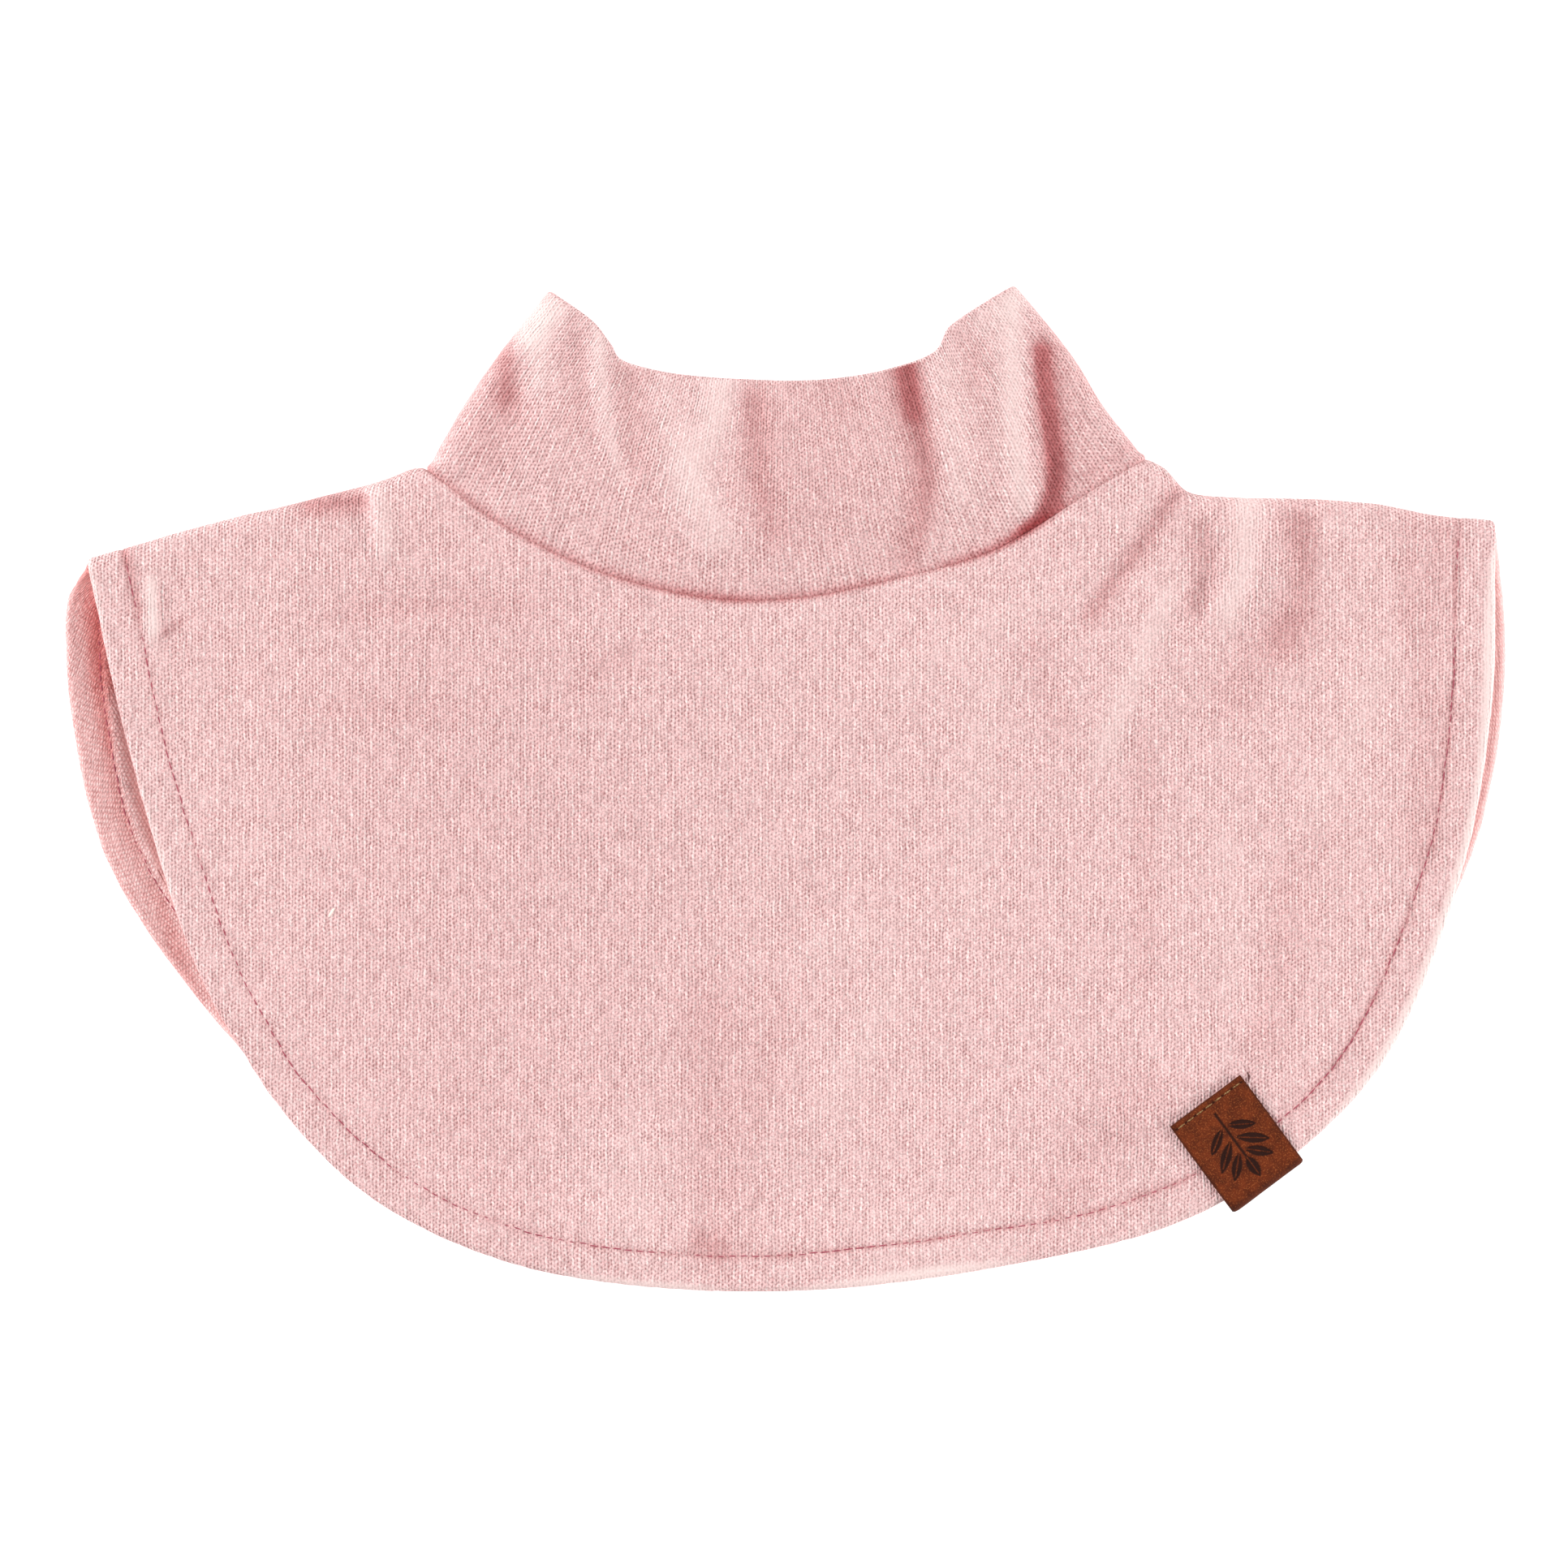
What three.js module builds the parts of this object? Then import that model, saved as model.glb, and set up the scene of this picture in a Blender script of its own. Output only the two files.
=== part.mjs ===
import * as THREE from "three";
import { mergeVertices } from "three/addons/utils/BufferGeometryUtils.js";

// A knitted neck warmer that lies flat on its back: x to the right, y towards the collar's rim, z up.
// Sizes are in millimetres, and the origin is on the ground under the middle of the whole piece.

// Cloth and leather
const KNIT = 1.3;
const HEM_THICKNESS = 2.6;
const HEM_DEPTH = 9;
const COLLAR_THICKNESS = 2.6;
const LEATHER = 1.1;
const CLEARANCE = 0.3;
const EDGE_ROUNDING = 0.4; // of the wall, at a hem or rim

// Heights of the outer face of the upper layer above the ground
const NECK_TOP = 12;
const BODY_TOP = 4.2;
const HEM_TOP = 5.6;
const COLLAR_BASE_TOP = 11.4;
const COLLAR_SIDE_DROP = 1.4;
const COLLAR_SWELL = 5.2;
const COLLAR_SWELL_REACH = 26;
const NECK_SLOPE_REACH = 88;
const HEM_RIDGE_REACH = 14;
const EDGE_LIFT = 1.6;
const EDGE_LIFT_REACH = 30;
const EDGE_LIFT_SHARE = 0.3; // of the hem's length, from each shoulder
const SMOOTH_BY_SEAM = 6; // no folds reach the body's neck edge
const SMOOTH_COLLAR_FOOT = 0.2; // of the collar's height
const SWELL_TO_RIM = 0.85; // of a half wave, so that the rim keeps some of the swell

// Corners that the edge curves share
const NECK_LEFT = { x: -83.6, y: 75.1 };
const NECK_RIGHT = { x: 83.8, y: 77.6 };
const TIP_LEFT = { x: -163.8, y: 53.9 };
const TIP_RIGHT = { x: 166.3, y: 62.8 };
const RIM_LEFT = { x: -55.4, y: 117.0 };
const RIM_RIGHT = { x: 53.6, y: 118.4 };

// Edge curves seen from above, each a smooth line through its rows
const NECK_SEAM = [
  NECK_LEFT,
  { x: -68.6, y: 63.0 },
  { x: -44.3, y: 50.3 },
  { x: -16.9, y: 44.6 },
  { x: 3.5, y: 44.9 },
  { x: 20.7, y: 48.2 },
  { x: 46.9, y: 55.4 },
  { x: 66.3, y: 65.6 },
  NECK_RIGHT,
];
const SHOULDER_LEFT = [
  NECK_LEFT,
  { x: -86.6, y: 75.1 },
  { x: -94.1, y: 72.3 },
  { x: -128.8, y: 63.9 },
  TIP_LEFT,
];
const SHOULDER_RIGHT = [
  NECK_RIGHT,
  { x: 88.5, y: 75.3 },
  { x: 93.5, y: 69.9 },
  { x: 98.4, y: 68.5 },
  { x: 137.2, y: 67.2 },
  { x: 152.4, y: 64.3 },
  TIP_RIGHT,
];
const FRONT_HEM = [
  TIP_LEFT,
  { x: -153.7, y: 11.3 },
  { x: -140.2, y: -33.0 },
  { x: -117.2, y: -76.5 },
  { x: -97.0, y: -95.8 },
  { x: -62.0, y: -111.7 },
  { x: -7.2, y: -117.7 },
  { x: 53.6, y: -111.3 },
  { x: 99.2, y: -98.2 },
  { x: 137.6, y: -67.2 },
  { x: 158.3, y: -19.5 },
  { x: 164.9, y: 20.8 },
  { x: 165.5, y: 52.9 },
  TIP_RIGHT,
];
const BACK_HEM = [
  TIP_LEFT,
  { x: -167.9, y: 45.0 },
  { x: -168.0, y: 22.0 },
  { x: -159.5, y: -15.6 },
  { x: -137.5, y: -49.5 },
  { x: -114.0, y: -75.0 },
  { x: -95.6, y: -92.8 },
  { x: -60.0, y: -109.0 },
  { x: -7.2, y: -114.7 },
  { x: 53.0, y: -108.3 },
  { x: 97.6, y: -95.3 },
  { x: 134.4, y: -64.8 },
  { x: 158.8, y: -20.5 },
  { x: 166.3, y: 6.0 },
  { x: 168.7, y: 34.1 },
  TIP_RIGHT,
];
const COLLAR_SIDE_LEFT = [
  NECK_LEFT,
  { x: -75.2, y: 89.8 },
  { x: -65.7, y: 104.0 },
  { x: -58.5, y: 112.8 },
  RIM_LEFT,
];
const COLLAR_SIDE_RIGHT = [
  NECK_RIGHT,
  { x: 74.5, y: 89.4 },
  { x: 67.6, y: 100.6 },
  { x: 57.2, y: 114.0 },
  RIM_RIGHT,
];
const FRONT_RIM = [
  RIM_LEFT,
  { x: -44.7, y: 109.3 },
  { x: -40.4, y: 104.0 },
  { x: -38.6, y: 101.0 },
  { x: -29.8, y: 98.2 },
  { x: -10.0, y: 96.2 },
  { x: 10.0, y: 96.3 },
  { x: 25.1, y: 99.0 },
  { x: 34.8, y: 103.0 },
  { x: 37.6, y: 107.9 },
  { x: 41.4, y: 110.8 },
  RIM_RIGHT,
];
const BACK_RIM_DROP = 1.8;

// Folds of the cloth: each runs from one point to another, and rise is its height, below 0 for a valley
const BIB_FOLDS = [
  { fromX: 91.6, fromY: 66.0, toX: 72.5, toY: 47.5, halfWidth: 4.5, rise: -1.5 },
  { fromX: 98.0, fromY: 60.0, toX: 98.4, toY: 47.0, halfWidth: 4.0, rise: -1.2 },
  { fromX: 109.3, fromY: 62.0, toX: 108.6, toY: 44.0, halfWidth: 5.0, rise: 1.6 },
  { fromX: 121.0, fromY: 53.0, toX: 118.2, toY: 38.0, halfWidth: 5.5, rise: -1.6 },
  { fromX: -94.0, fromY: 70.0, toX: -94.6, toY: 53.0, halfWidth: 4.0, rise: 1.5 },
  { fromX: -101.0, fromY: 66.0, toX: -100.0, toY: 56.0, halfWidth: 5.0, rise: -1.0 },
];
const COLLAR_FOLDS = [
  { fromX: -62.3, fromY: 101.0, toX: -69.0, toY: 87.0, halfWidth: 4.0, rise: -1.2 },
  { fromX: -43.1, fromY: 102.0, toX: -36.5, toY: 70.0, halfWidth: 3.6, rise: 1.8 },
  { fromX: -8.2, fromY: 92.0, toX: -6.1, toY: 68.0, halfWidth: 5.0, rise: -1.6 },
  { fromX: 28.5, fromY: 97.0, toX: 31.5, toY: 60.0, halfWidth: 3.6, rise: -1.8 },
  { fromX: 53.5, fromY: 107.0, toX: 55.5, toY: 70.0, halfWidth: 4.4, rise: 2.0 },
  { fromX: 60.6, fromY: 104.0, toX: 59.5, toY: 64.0, halfWidth: 3.8, rise: -2.8 },
];

// The leather tab folded round the hem: its fold's middle, its direction out over the edge and its sizes
const TAB = { x: 113.2, y: -93.2, angle: -0.933, length: 25.3, width: 20.4, hemUnderTab: 16.5 };
const TAB_SEAT = 6.9;
const TAB_SEAT_MARGIN = 5;
const TAB_SEAT_REACH = 12;

// How finely the cloth is cut up
const ROLL_STEPS = 4;
const END_CROWDING = 0.5;
const BIB_FRONT_STEPS = 44;
const BIB_BACK_STEPS = 30;
const BIB_ROWS = [0.02, 0.05, 0.1, 0.16, 0.24, 0.34, 0.46, 0.6, 0.76, 0.9];
const COLLAR_FRONT_STEPS = 46;
const COLLAR_BACK_STEPS = 22;
const COLLAR_ROWS = [0, 0.07, 0.16, 0.28, 0.4, 0.53, 0.66, 0.8, 0.91];

// A smooth curve through the rows of a table, read by the share of its length.
function through(rows) {
  const points = rows.map(({ x, y }) => new THREE.Vector3(x, y, 0));
  const curve = new THREE.CatmullRomCurve3(points, false, "centripetal");
  curve.arcLengthDivisions = 600;
  return curve;
}

// A flat patch between four edge curves. Inner and outer run from left to right, the sides from inner to outer.
function patchBetween(inner, outer, left, right) {
  const cornerInnerLeft = inner.getPointAt(0);
  const cornerInnerRight = inner.getPointAt(1);
  const cornerOuterLeft = outer.getPointAt(0);
  const cornerOuterRight = outer.getPointAt(1);
  const point = (u, v) =>
    new THREE.Vector3()
      .addScaledVector(inner.getPointAt(u), 1 - v)
      .addScaledVector(outer.getPointAt(u), v)
      .addScaledVector(left.getPointAt(v), 1 - u)
      .addScaledVector(right.getPointAt(v), u)
      .addScaledVector(cornerInnerLeft, -(1 - u) * (1 - v))
      .addScaledVector(cornerInnerRight, -u * (1 - v))
      .addScaledVector(cornerOuterLeft, -(1 - u) * v)
      .addScaledVector(cornerOuterRight, -u * v);
  const widthAcross = (v) => THREE.MathUtils.lerp(inner.getLength(), outer.getLength(), v);
  const lengthAlong = (u) => inner.getPointAt(u).distanceTo(outer.getPointAt(u));
  return { point, widthAcross, lengthAlong };
}

// 1 at the start, smoothly down to 0 at the reach.
function fade(distance, reach) {
  return 1 - THREE.MathUtils.smoothstep(distance, 0, reach);
}

// The summed height of a table's folds at a place seen from above.
function foldsAt(folds, place) {
  const nearest = new THREE.Vector3();
  const line = new THREE.Line3();
  let height = 0;
  for (const fold of folds) {
    line.start.set(fold.fromX, fold.fromY, 0);
    line.end.set(fold.toX, fold.toY, 0);
    line.closestPointToPoint(place, true, nearest);
    height += fold.rise * Math.exp(-((place.distanceTo(nearest) / fold.halfWidth) ** 2));
  }
  return height;
}

// The share of the way at step k, with the steps closer together near both ends.
function crowdedShare(k, steps) {
  const even = k / steps;
  const eased = (1 - Math.cos(Math.PI * even)) / 2;
  return THREE.MathUtils.lerp(even, eased, END_CROWDING);
}

// Stations round a flattened ring: over the front from left to right, and back under it.
// Each rolls over at the sides: turn goes from 0 at the silhouette to a quarter turn where the cloth lies flat.
function stationsRound(frontSteps, backSteps) {
  const quarter = Math.PI / 2;
  const half = (side, steps) => {
    const list = [];
    for (let k = 0; k < ROLL_STEPS; k += 1) list.push({ side, end: 0, turn: (quarter * k) / ROLL_STEPS });
    for (let k = 0; k <= steps; k += 1) list.push({ side, share: crowdedShare(k, steps), turn: quarter });
    for (let k = ROLL_STEPS - 1; k >= 0; k -= 1) list.push({ side, end: 1, turn: (quarter * k) / ROLL_STEPS });
    return list;
  };
  const front = half("front", frontSteps);
  const back = half("back", backSteps).reverse().slice(1, -1);
  return [...front, ...back];
}

// The share of the ring's width at which a station stands, for a roll of the given radius.
function shareAcross(station, radius, width) {
  const margin = radius / width;
  if (station.share !== undefined) return THREE.MathUtils.lerp(margin, 1 - margin, station.share);
  const inset = margin * (1 - Math.cos(station.turn));
  return station.end === 0 ? inset : 1 - inset;
}

// A closed ring of cloth. face(i, j) is its outer face at station i and row j, and thickness(j) its wall.
// The last row is the middle of a rounded edge, and the first row a plain cut one.
function clothRing(stationCount, rowCount, face, thickness) {
  const outer = [];
  for (let i = 0; i < stationCount; i += 1) {
    outer.push([]);
    for (let j = 0; j < rowCount; j += 1) outer[i].push(face(i, j));
  }
  const normalAt = (i, j) => {
    const next = outer[(i + 1) % stationCount][j];
    const before = outer[(i + stationCount - 1) % stationCount][j];
    const round = new THREE.Vector3().subVectors(next, before);
    const ahead = outer[i][Math.min(j + 1, rowCount - 1)];
    const behind = outer[i][Math.max(j - 1, 0)];
    const across = new THREE.Vector3().subVectors(ahead, behind);
    return across.cross(round).normalize();
  };
  const last = rowCount - 1;
  const profile = [];
  for (let j = 0; j < last; j += 1) profile.push({ j, depth: 1 });
  profile.push({ j: last, depth: 0.5 });
  for (let j = last - 1; j >= 0; j -= 1) profile.push({ j, depth: 0 });
  profile.push({ j: 0, depth: 1 });

  const outline = profile.map(({ j, depth }) => new THREE.Vector2(1 + j, -depth));
  const lathe = new THREE.LatheGeometry(outline, stationCount);
  const places = lathe.getAttribute("position");
  for (let k = 0; k < places.count; k += 1) {
    const i = Math.floor(k / profile.length) % stationCount;
    const { j, depth } = profile[k % profile.length];
    const sink = thickness(j) * depth;
    const place = outer[i][j].clone().addScaledVector(normalAt(i, j), -sink);
    places.setXYZ(k, place.x, place.y, place.z);
  }
  lathe.deleteAttribute("normal");
  lathe.deleteAttribute("uv");
  const closed = mergeVertices(lathe, 1e-4);
  closed.computeVertexNormals();
  return closed;
}

// The height of the bib's upper face, from the distances to the neck seam and to the hem's edge.
function bibTop(place, fromNeck, fromEdge, toSide) {
  const slope = (NECK_TOP - BODY_TOP) * fade(fromNeck, NECK_SLOPE_REACH);
  const ridge = (HEM_TOP - BODY_TOP) * fade(fromEdge - HEM_DEPTH, HEM_RIDGE_REACH);
  const lift = EDGE_LIFT * fade(fromEdge, EDGE_LIFT_REACH) * fade(toSide, EDGE_LIFT_SHARE);
  const folds = foldsAt(BIB_FOLDS, place) * (1 - fade(fromNeck, SMOOTH_BY_SEAM));
  const top = BODY_TOP + slope + ridge + lift + folds;
  return THREE.MathUtils.lerp(top, TAB_SEAT, tabSeatWeight(place));
}

// 1 where the leather tab lies, fading out round it.
function tabSeatWeight(place) {
  const local = new THREE.Vector3(place.x - TAB.x, place.y - TAB.y, 0);
  local.applyAxisAngle(new THREE.Vector3(0, 0, 1), -TAB.angle);
  const alongMiss = Math.max(Math.abs(local.x + TAB.length / 2) - TAB.length / 2 - TAB_SEAT_MARGIN, 0);
  const acrossMiss = Math.max(Math.abs(local.y) - TAB.width / 2 - TAB_SEAT_MARGIN, 0);
  return fade(Math.hypot(alongMiss, acrossMiss), TAB_SEAT_REACH);
}

// The bib: front and back in one, rolled over at the shoulders, with its turned hem.
function bibGeometry() {
  const neck = through(NECK_SEAM);
  const left = through(SHOULDER_LEFT);
  const right = through(SHOULDER_RIGHT);
  const patches = {
    front: patchBetween(neck, through(FRONT_HEM), left, right),
    back: patchBetween(neck, through(BACK_HEM), left, right),
  };
  const stations = stationsRound(BIB_FRONT_STEPS, BIB_BACK_STEPS);
  const rows = [
    { fromNeck: CLEARANCE, wall: KNIT },
    ...BIB_ROWS.map((share) => ({ share, wall: KNIT })),
    { fromEdge: HEM_DEPTH + KNIT / 2, wall: KNIT },
    { fromEdge: HEM_DEPTH, wall: HEM_THICKNESS },
    { fromEdge: HEM_DEPTH / 2, wall: HEM_THICKNESS },
    { fromEdge: HEM_THICKNESS * EDGE_ROUNDING, wall: HEM_THICKNESS },
    { fromEdge: 0, wall: HEM_THICKNESS },
  ];
  const rowShare = (row, length) => {
    if (row.fromNeck !== undefined) return row.fromNeck / length;
    if (row.fromEdge !== undefined) return 1 - row.fromEdge / length;
    return row.share * (1 - (HEM_DEPTH + KNIT / 2) / length);
  };
  const face = (i, j) => {
    const { side, turn } = stations[i];
    const { point, widthAcross, lengthAlong } = patches[side];
    const firstGuess = stations[i].share ?? stations[i].end;
    const length = lengthAlong(firstGuess);
    const v = rowShare(rows[j], length);
    const topAt = (u) => bibTop(point(u, v), v * length, (1 - v) * length, Math.min(u, 1 - u));
    const radius = topAt(firstGuess < 0.5 ? 0 : 1) / 2;
    const u = shareAcross(stations[i], radius, widthAcross(v));
    const place = point(u, v);
    const rise = side === "front" ? 1 + Math.sin(turn) : 1 - Math.sin(turn);
    place.z = (topAt(u) * rise) / 2;
    return place;
  };
  return clothRing(stations.length, rows.length, face, (j) => rows[j].wall);
}

// The height of the collar's upper face at a share of its height and a distance from its side.
function collarTop(place, share, fromSide) {
  const side = COLLAR_BASE_TOP - COLLAR_SIDE_DROP * share;
  const swell = COLLAR_SWELL * Math.sin(Math.PI * share * SWELL_TO_RIM);
  const folds = foldsAt(COLLAR_FOLDS, place) * (1 - fade(share, SMOOTH_COLLAR_FOOT));
  return side + (swell + folds) * (1 - fade(fromSide, COLLAR_SWELL_REACH));
}

// The collar: a doubled tube that stands on the neck seam and is folded at its rim.
function collarGeometry() {
  const neck = through(NECK_SEAM);
  const left = through(COLLAR_SIDE_LEFT);
  const right = through(COLLAR_SIDE_RIGHT);
  const { point, widthAcross, lengthAlong } = patchBetween(neck, through(FRONT_RIM), left, right);
  const stations = stationsRound(COLLAR_FRONT_STEPS, COLLAR_BACK_STEPS).reverse();
  const rounding = COLLAR_THICKNESS * EDGE_ROUNDING;
  const rows = [...COLLAR_ROWS.map((share) => ({ share })), { fromEdge: rounding }, { fromEdge: 0 }];
  const face = (i, j) => {
    const { side, turn } = stations[i];
    const firstGuess = stations[i].share ?? stations[i].end;
    const row = rows[j];
    const v = row.share ?? 1 - row.fromEdge / lengthAlong(firstGuess);
    const width = widthAcross(v);
    const topAt = (u) => collarTop(point(u, v), v, Math.min(u, 1 - u) * width);
    const radius = topAt(firstGuess < 0.5 ? 0 : 1) / 2;
    const u = shareAcross(stations[i], radius, width);
    const place = point(u, v);
    const rise = side === "front" ? 1 + Math.sin(turn) : 1 - Math.sin(turn);
    place.z = (topAt(u) * rise) / 2;
    if (side === "back") place.y -= BACK_RIM_DROP * v * Math.sin(Math.PI * u);
    return place;
  };
  return clothRing(stations.length, rows.length, face, () => COLLAR_THICKNESS);
}

// The tab's side view, with the fold at its right end: an upper leaf on the hem and a lower leaf under it.
function tabGeometry() {
  const under = TAB_SEAT - HEM_THICKNESS - CLEARANCE;
  const over = TAB_SEAT + CLEARANCE;
  const middle = (under + over) / 2;
  const innerRadius = (over - under) / 2;
  const outerRadius = innerRadius + LEATHER;
  const bendX = -outerRadius;
  const pinch = HEM_THICKNESS - KNIT;
  const pinchStart = -TAB.hemUnderTab;
  const outline = new THREE.Shape();
  outline.moveTo(-TAB.length, over + LEATHER);
  outline.lineTo(bendX, over + LEATHER);
  outline.absarc(bendX, middle, outerRadius, Math.PI / 2, -Math.PI / 2, true);
  outline.lineTo(pinchStart, under - LEATHER);
  outline.lineTo(-TAB.length, under - LEATHER + pinch);
  outline.lineTo(-TAB.length, under + pinch);
  outline.lineTo(pinchStart, under);
  outline.lineTo(bendX, under);
  outline.absarc(bendX, middle, innerRadius, -Math.PI / 2, Math.PI / 2, false);
  outline.lineTo(-TAB.length, over);
  outline.closePath();
  const solid = new THREE.ExtrudeGeometry(outline, {
    depth: TAB.width,
    bevelEnabled: false,
    curveSegments: 10,
  });
  solid.rotateX(Math.PI / 2);
  solid.translate(0, TAB.width / 2, 0);
  return solid;
}

const knit = new THREE.MeshStandardMaterial({ color: 0xe9bfbd, roughness: 0.95, metalness: 0 });
const leather = new THREE.MeshStandardMaterial({ color: 0x6d3015, roughness: 0.6, metalness: 0 });

const neckWarmer = new THREE.Group();

const bib = new THREE.Mesh(bibGeometry(), knit);
bib.name = "bib";
neckWarmer.add(bib);

const collar = new THREE.Mesh(collarGeometry(), knit);
collar.name = "collar";
neckWarmer.add(collar);

const label = new THREE.Mesh(tabGeometry(), leather);
label.name = "label";
label.position.set(TAB.x, TAB.y, 0);
label.rotation.z = TAB.angle;
neckWarmer.add(label);

export default neckWarmer;
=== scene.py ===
"""A knitted neck warmer that lies flat on its back, dressed in cloth, stitching and leather.

Tables and sizes are in millimetres, x to the right, y towards the collar's rim and z up.
Meshes are in metres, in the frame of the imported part.
"""

import logging
import math
from dataclasses import dataclass
from enum import Enum
from typing import NamedTuple, Sequence

import bpy
import numpy as np
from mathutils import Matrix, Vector
from mathutils.bvhtree import BVHTree
from mathutils.kdtree import KDTree

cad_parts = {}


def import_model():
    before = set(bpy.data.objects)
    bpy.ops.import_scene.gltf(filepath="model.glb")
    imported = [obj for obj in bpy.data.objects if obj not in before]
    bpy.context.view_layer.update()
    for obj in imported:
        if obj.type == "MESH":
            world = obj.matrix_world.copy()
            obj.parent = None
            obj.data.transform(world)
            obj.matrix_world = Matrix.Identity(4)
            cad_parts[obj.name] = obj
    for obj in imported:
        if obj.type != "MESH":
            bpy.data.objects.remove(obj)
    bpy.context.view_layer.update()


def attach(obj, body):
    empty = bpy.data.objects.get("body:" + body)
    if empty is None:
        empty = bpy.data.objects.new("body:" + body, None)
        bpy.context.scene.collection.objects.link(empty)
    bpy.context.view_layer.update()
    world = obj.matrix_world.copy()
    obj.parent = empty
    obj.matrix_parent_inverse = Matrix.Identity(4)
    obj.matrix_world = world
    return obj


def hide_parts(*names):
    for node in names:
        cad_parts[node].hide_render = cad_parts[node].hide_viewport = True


LOG = logging.getLogger("neck_warmer")
MM = 0.001
QUARTER = math.pi / 2
TURN = 2 * math.pi
ROOT_BODY = "root"

# The cloth's own map and the attributes that the materials read
KNIT_MAP = "cloth_map"
REVERSE = "reverse_side"
# Painted shade above 0 and painted light below 0, which the knitted material lays into its colour
PAINTED_SHADE_AND_LIGHT = "crowding"
EDGE = "edge_mask"
PRESSED = "pressed_mask"

Place = tuple[float, float]
Colour = tuple[float, float, float, float]


class Layer(Enum):
    """The two layers of a flattened ring of cloth, and the way that each one faces."""

    FRONT = 1
    BACK = -1


class Side(Enum):
    """Where a row of stitches is seen from."""

    TOP = "top"
    INSIDE = "inside"
    UNDERSIDE = "underside"


# Corners that the edge curves share
NECK_LEFT = (-83.6, 75.1)
NECK_RIGHT = (83.8, 77.6)
TIP_LEFT = (-163.8, 53.9)
TIP_RIGHT = (166.3, 62.8)
RIM_LEFT = (-55.4, 117.0)
RIM_RIGHT = (53.6, 118.4)

# Edge curves seen from above
NECK_SEAM = [
    NECK_LEFT, (-68.6, 63.6), (-44.3, 51.4), (-16.9, 44.8), (3.5, 45.0), (20.7, 48.3), (46.9, 55.4),
    (58.0, 61.2), (66.3, 66.8), (75.0, 72.3), NECK_RIGHT,
]
SHOULDER_LEFT = [
    NECK_LEFT, (-86.6, 75.1), (-94.1, 72.3), (-128.8, 63.9), TIP_LEFT,
]
SHOULDER_RIGHT = [
    NECK_RIGHT, (88.5, 75.3), (93.5, 69.9), (98.4, 68.5), (137.2, 67.2), (152.4, 64.3), TIP_RIGHT,
]
FRONT_HEM = [
    TIP_LEFT, (-154.3, 11.1), (-141.2, -33.5), (-134.2, -49.9), (-128.0, -60.2), (-117.1, -76.3),
    (-97.0, -95.8), (-62.0, -111.7), (-7.2, -117.7), (53.6, -111.3), (99.2, -98.2), (137.6, -67.2),
    (158.3, -19.5), (165.5, 20.8), (166.2, 45.0), TIP_RIGHT,
]
BACK_HEM = [
    TIP_LEFT, (-165.0, 50.4), (-167.7, 45.8), (-168.8, 40.5), (-168.6, 33.0), (-168.0, 22.0),
    (-159.5, -15.6), (-137.5, -49.5), (-114.0, -75.0), (-95.6, -92.8), (-60.0, -109.0), (-7.2, -114.7),
    (53.0, -108.3), (97.6, -95.3), (134.4, -64.8), (158.8, -20.5), (166.3, 6.0), (168.7, 34.1),
    TIP_RIGHT,
]
COLLAR_SIDE_LEFT = [
    NECK_LEFT, (-75.2, 89.8), (-65.7, 104.0), (-58.5, 112.8), RIM_LEFT,
]
COLLAR_SIDE_RIGHT = [
    NECK_RIGHT, (74.5, 89.4), (67.6, 100.6), (57.2, 114.0), RIM_RIGHT,
]
FRONT_RIM = [
    RIM_LEFT, (-44.7, 109.3), (-40.4, 104.0), (-38.6, 101.0), (-29.8, 98.2), (-10.0, 96.2),
    (10.0, 96.3), (25.1, 99.0), (34.8, 103.0), (37.6, 107.9), (41.4, 110.8), RIM_RIGHT,
]


def smoothstep(value: np.ndarray) -> np.ndarray:
    """Returns 0 below 0, 1 above 1 and a smooth rise between them."""
    part = np.clip(value, 0.0, 1.0)
    return part * part * (3 - 2 * part)


def fade(distance: np.ndarray, reach: float) -> np.ndarray:
    """Returns 1 at no distance, smoothly down to 0 at the reach."""
    return 1 - smoothstep(distance / reach)


def bell(distance: np.ndarray, reach: float) -> np.ndarray:
    """Returns 1 at no distance, and a bell curve's share at others."""
    return np.exp(-((distance / reach) ** 2))


class SoftNoise:
    """Smooth random heights over a plane, the same in each run."""

    CELLS = 256

    def __init__(self, cell: float, seed: int) -> None:
        """Draws the heights.

        Args:
            cell: The distance between two random heights.
            seed: What the draw starts from.
        """
        self.cell = cell
        self.heights = np.random.default_rng(seed).uniform(-1, 1, (self.CELLS, self.CELLS))

    def at(self, places: np.ndarray) -> np.ndarray:
        """Reads the noise.

        Args:
            places: An array whose last axis holds x and y.

        Returns:
            Heights from -1 to 1, one for each place.
        """
        scaled = places / self.cell
        corner = np.floor(scaled).astype(int)
        along, up = np.moveaxis(smoothstep(scaled - corner), -1, 0)
        x, y = np.moveaxis(corner, -1, 0)
        near, far = x % self.CELLS, (x + 1) % self.CELLS
        rows = (y % self.CELLS, (y + 1) % self.CELLS)
        low, high = (self.heights[near, row] * (1 - along) + self.heights[far, row] * along for row in rows)
        return low * (1 - up) + high * up


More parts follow.
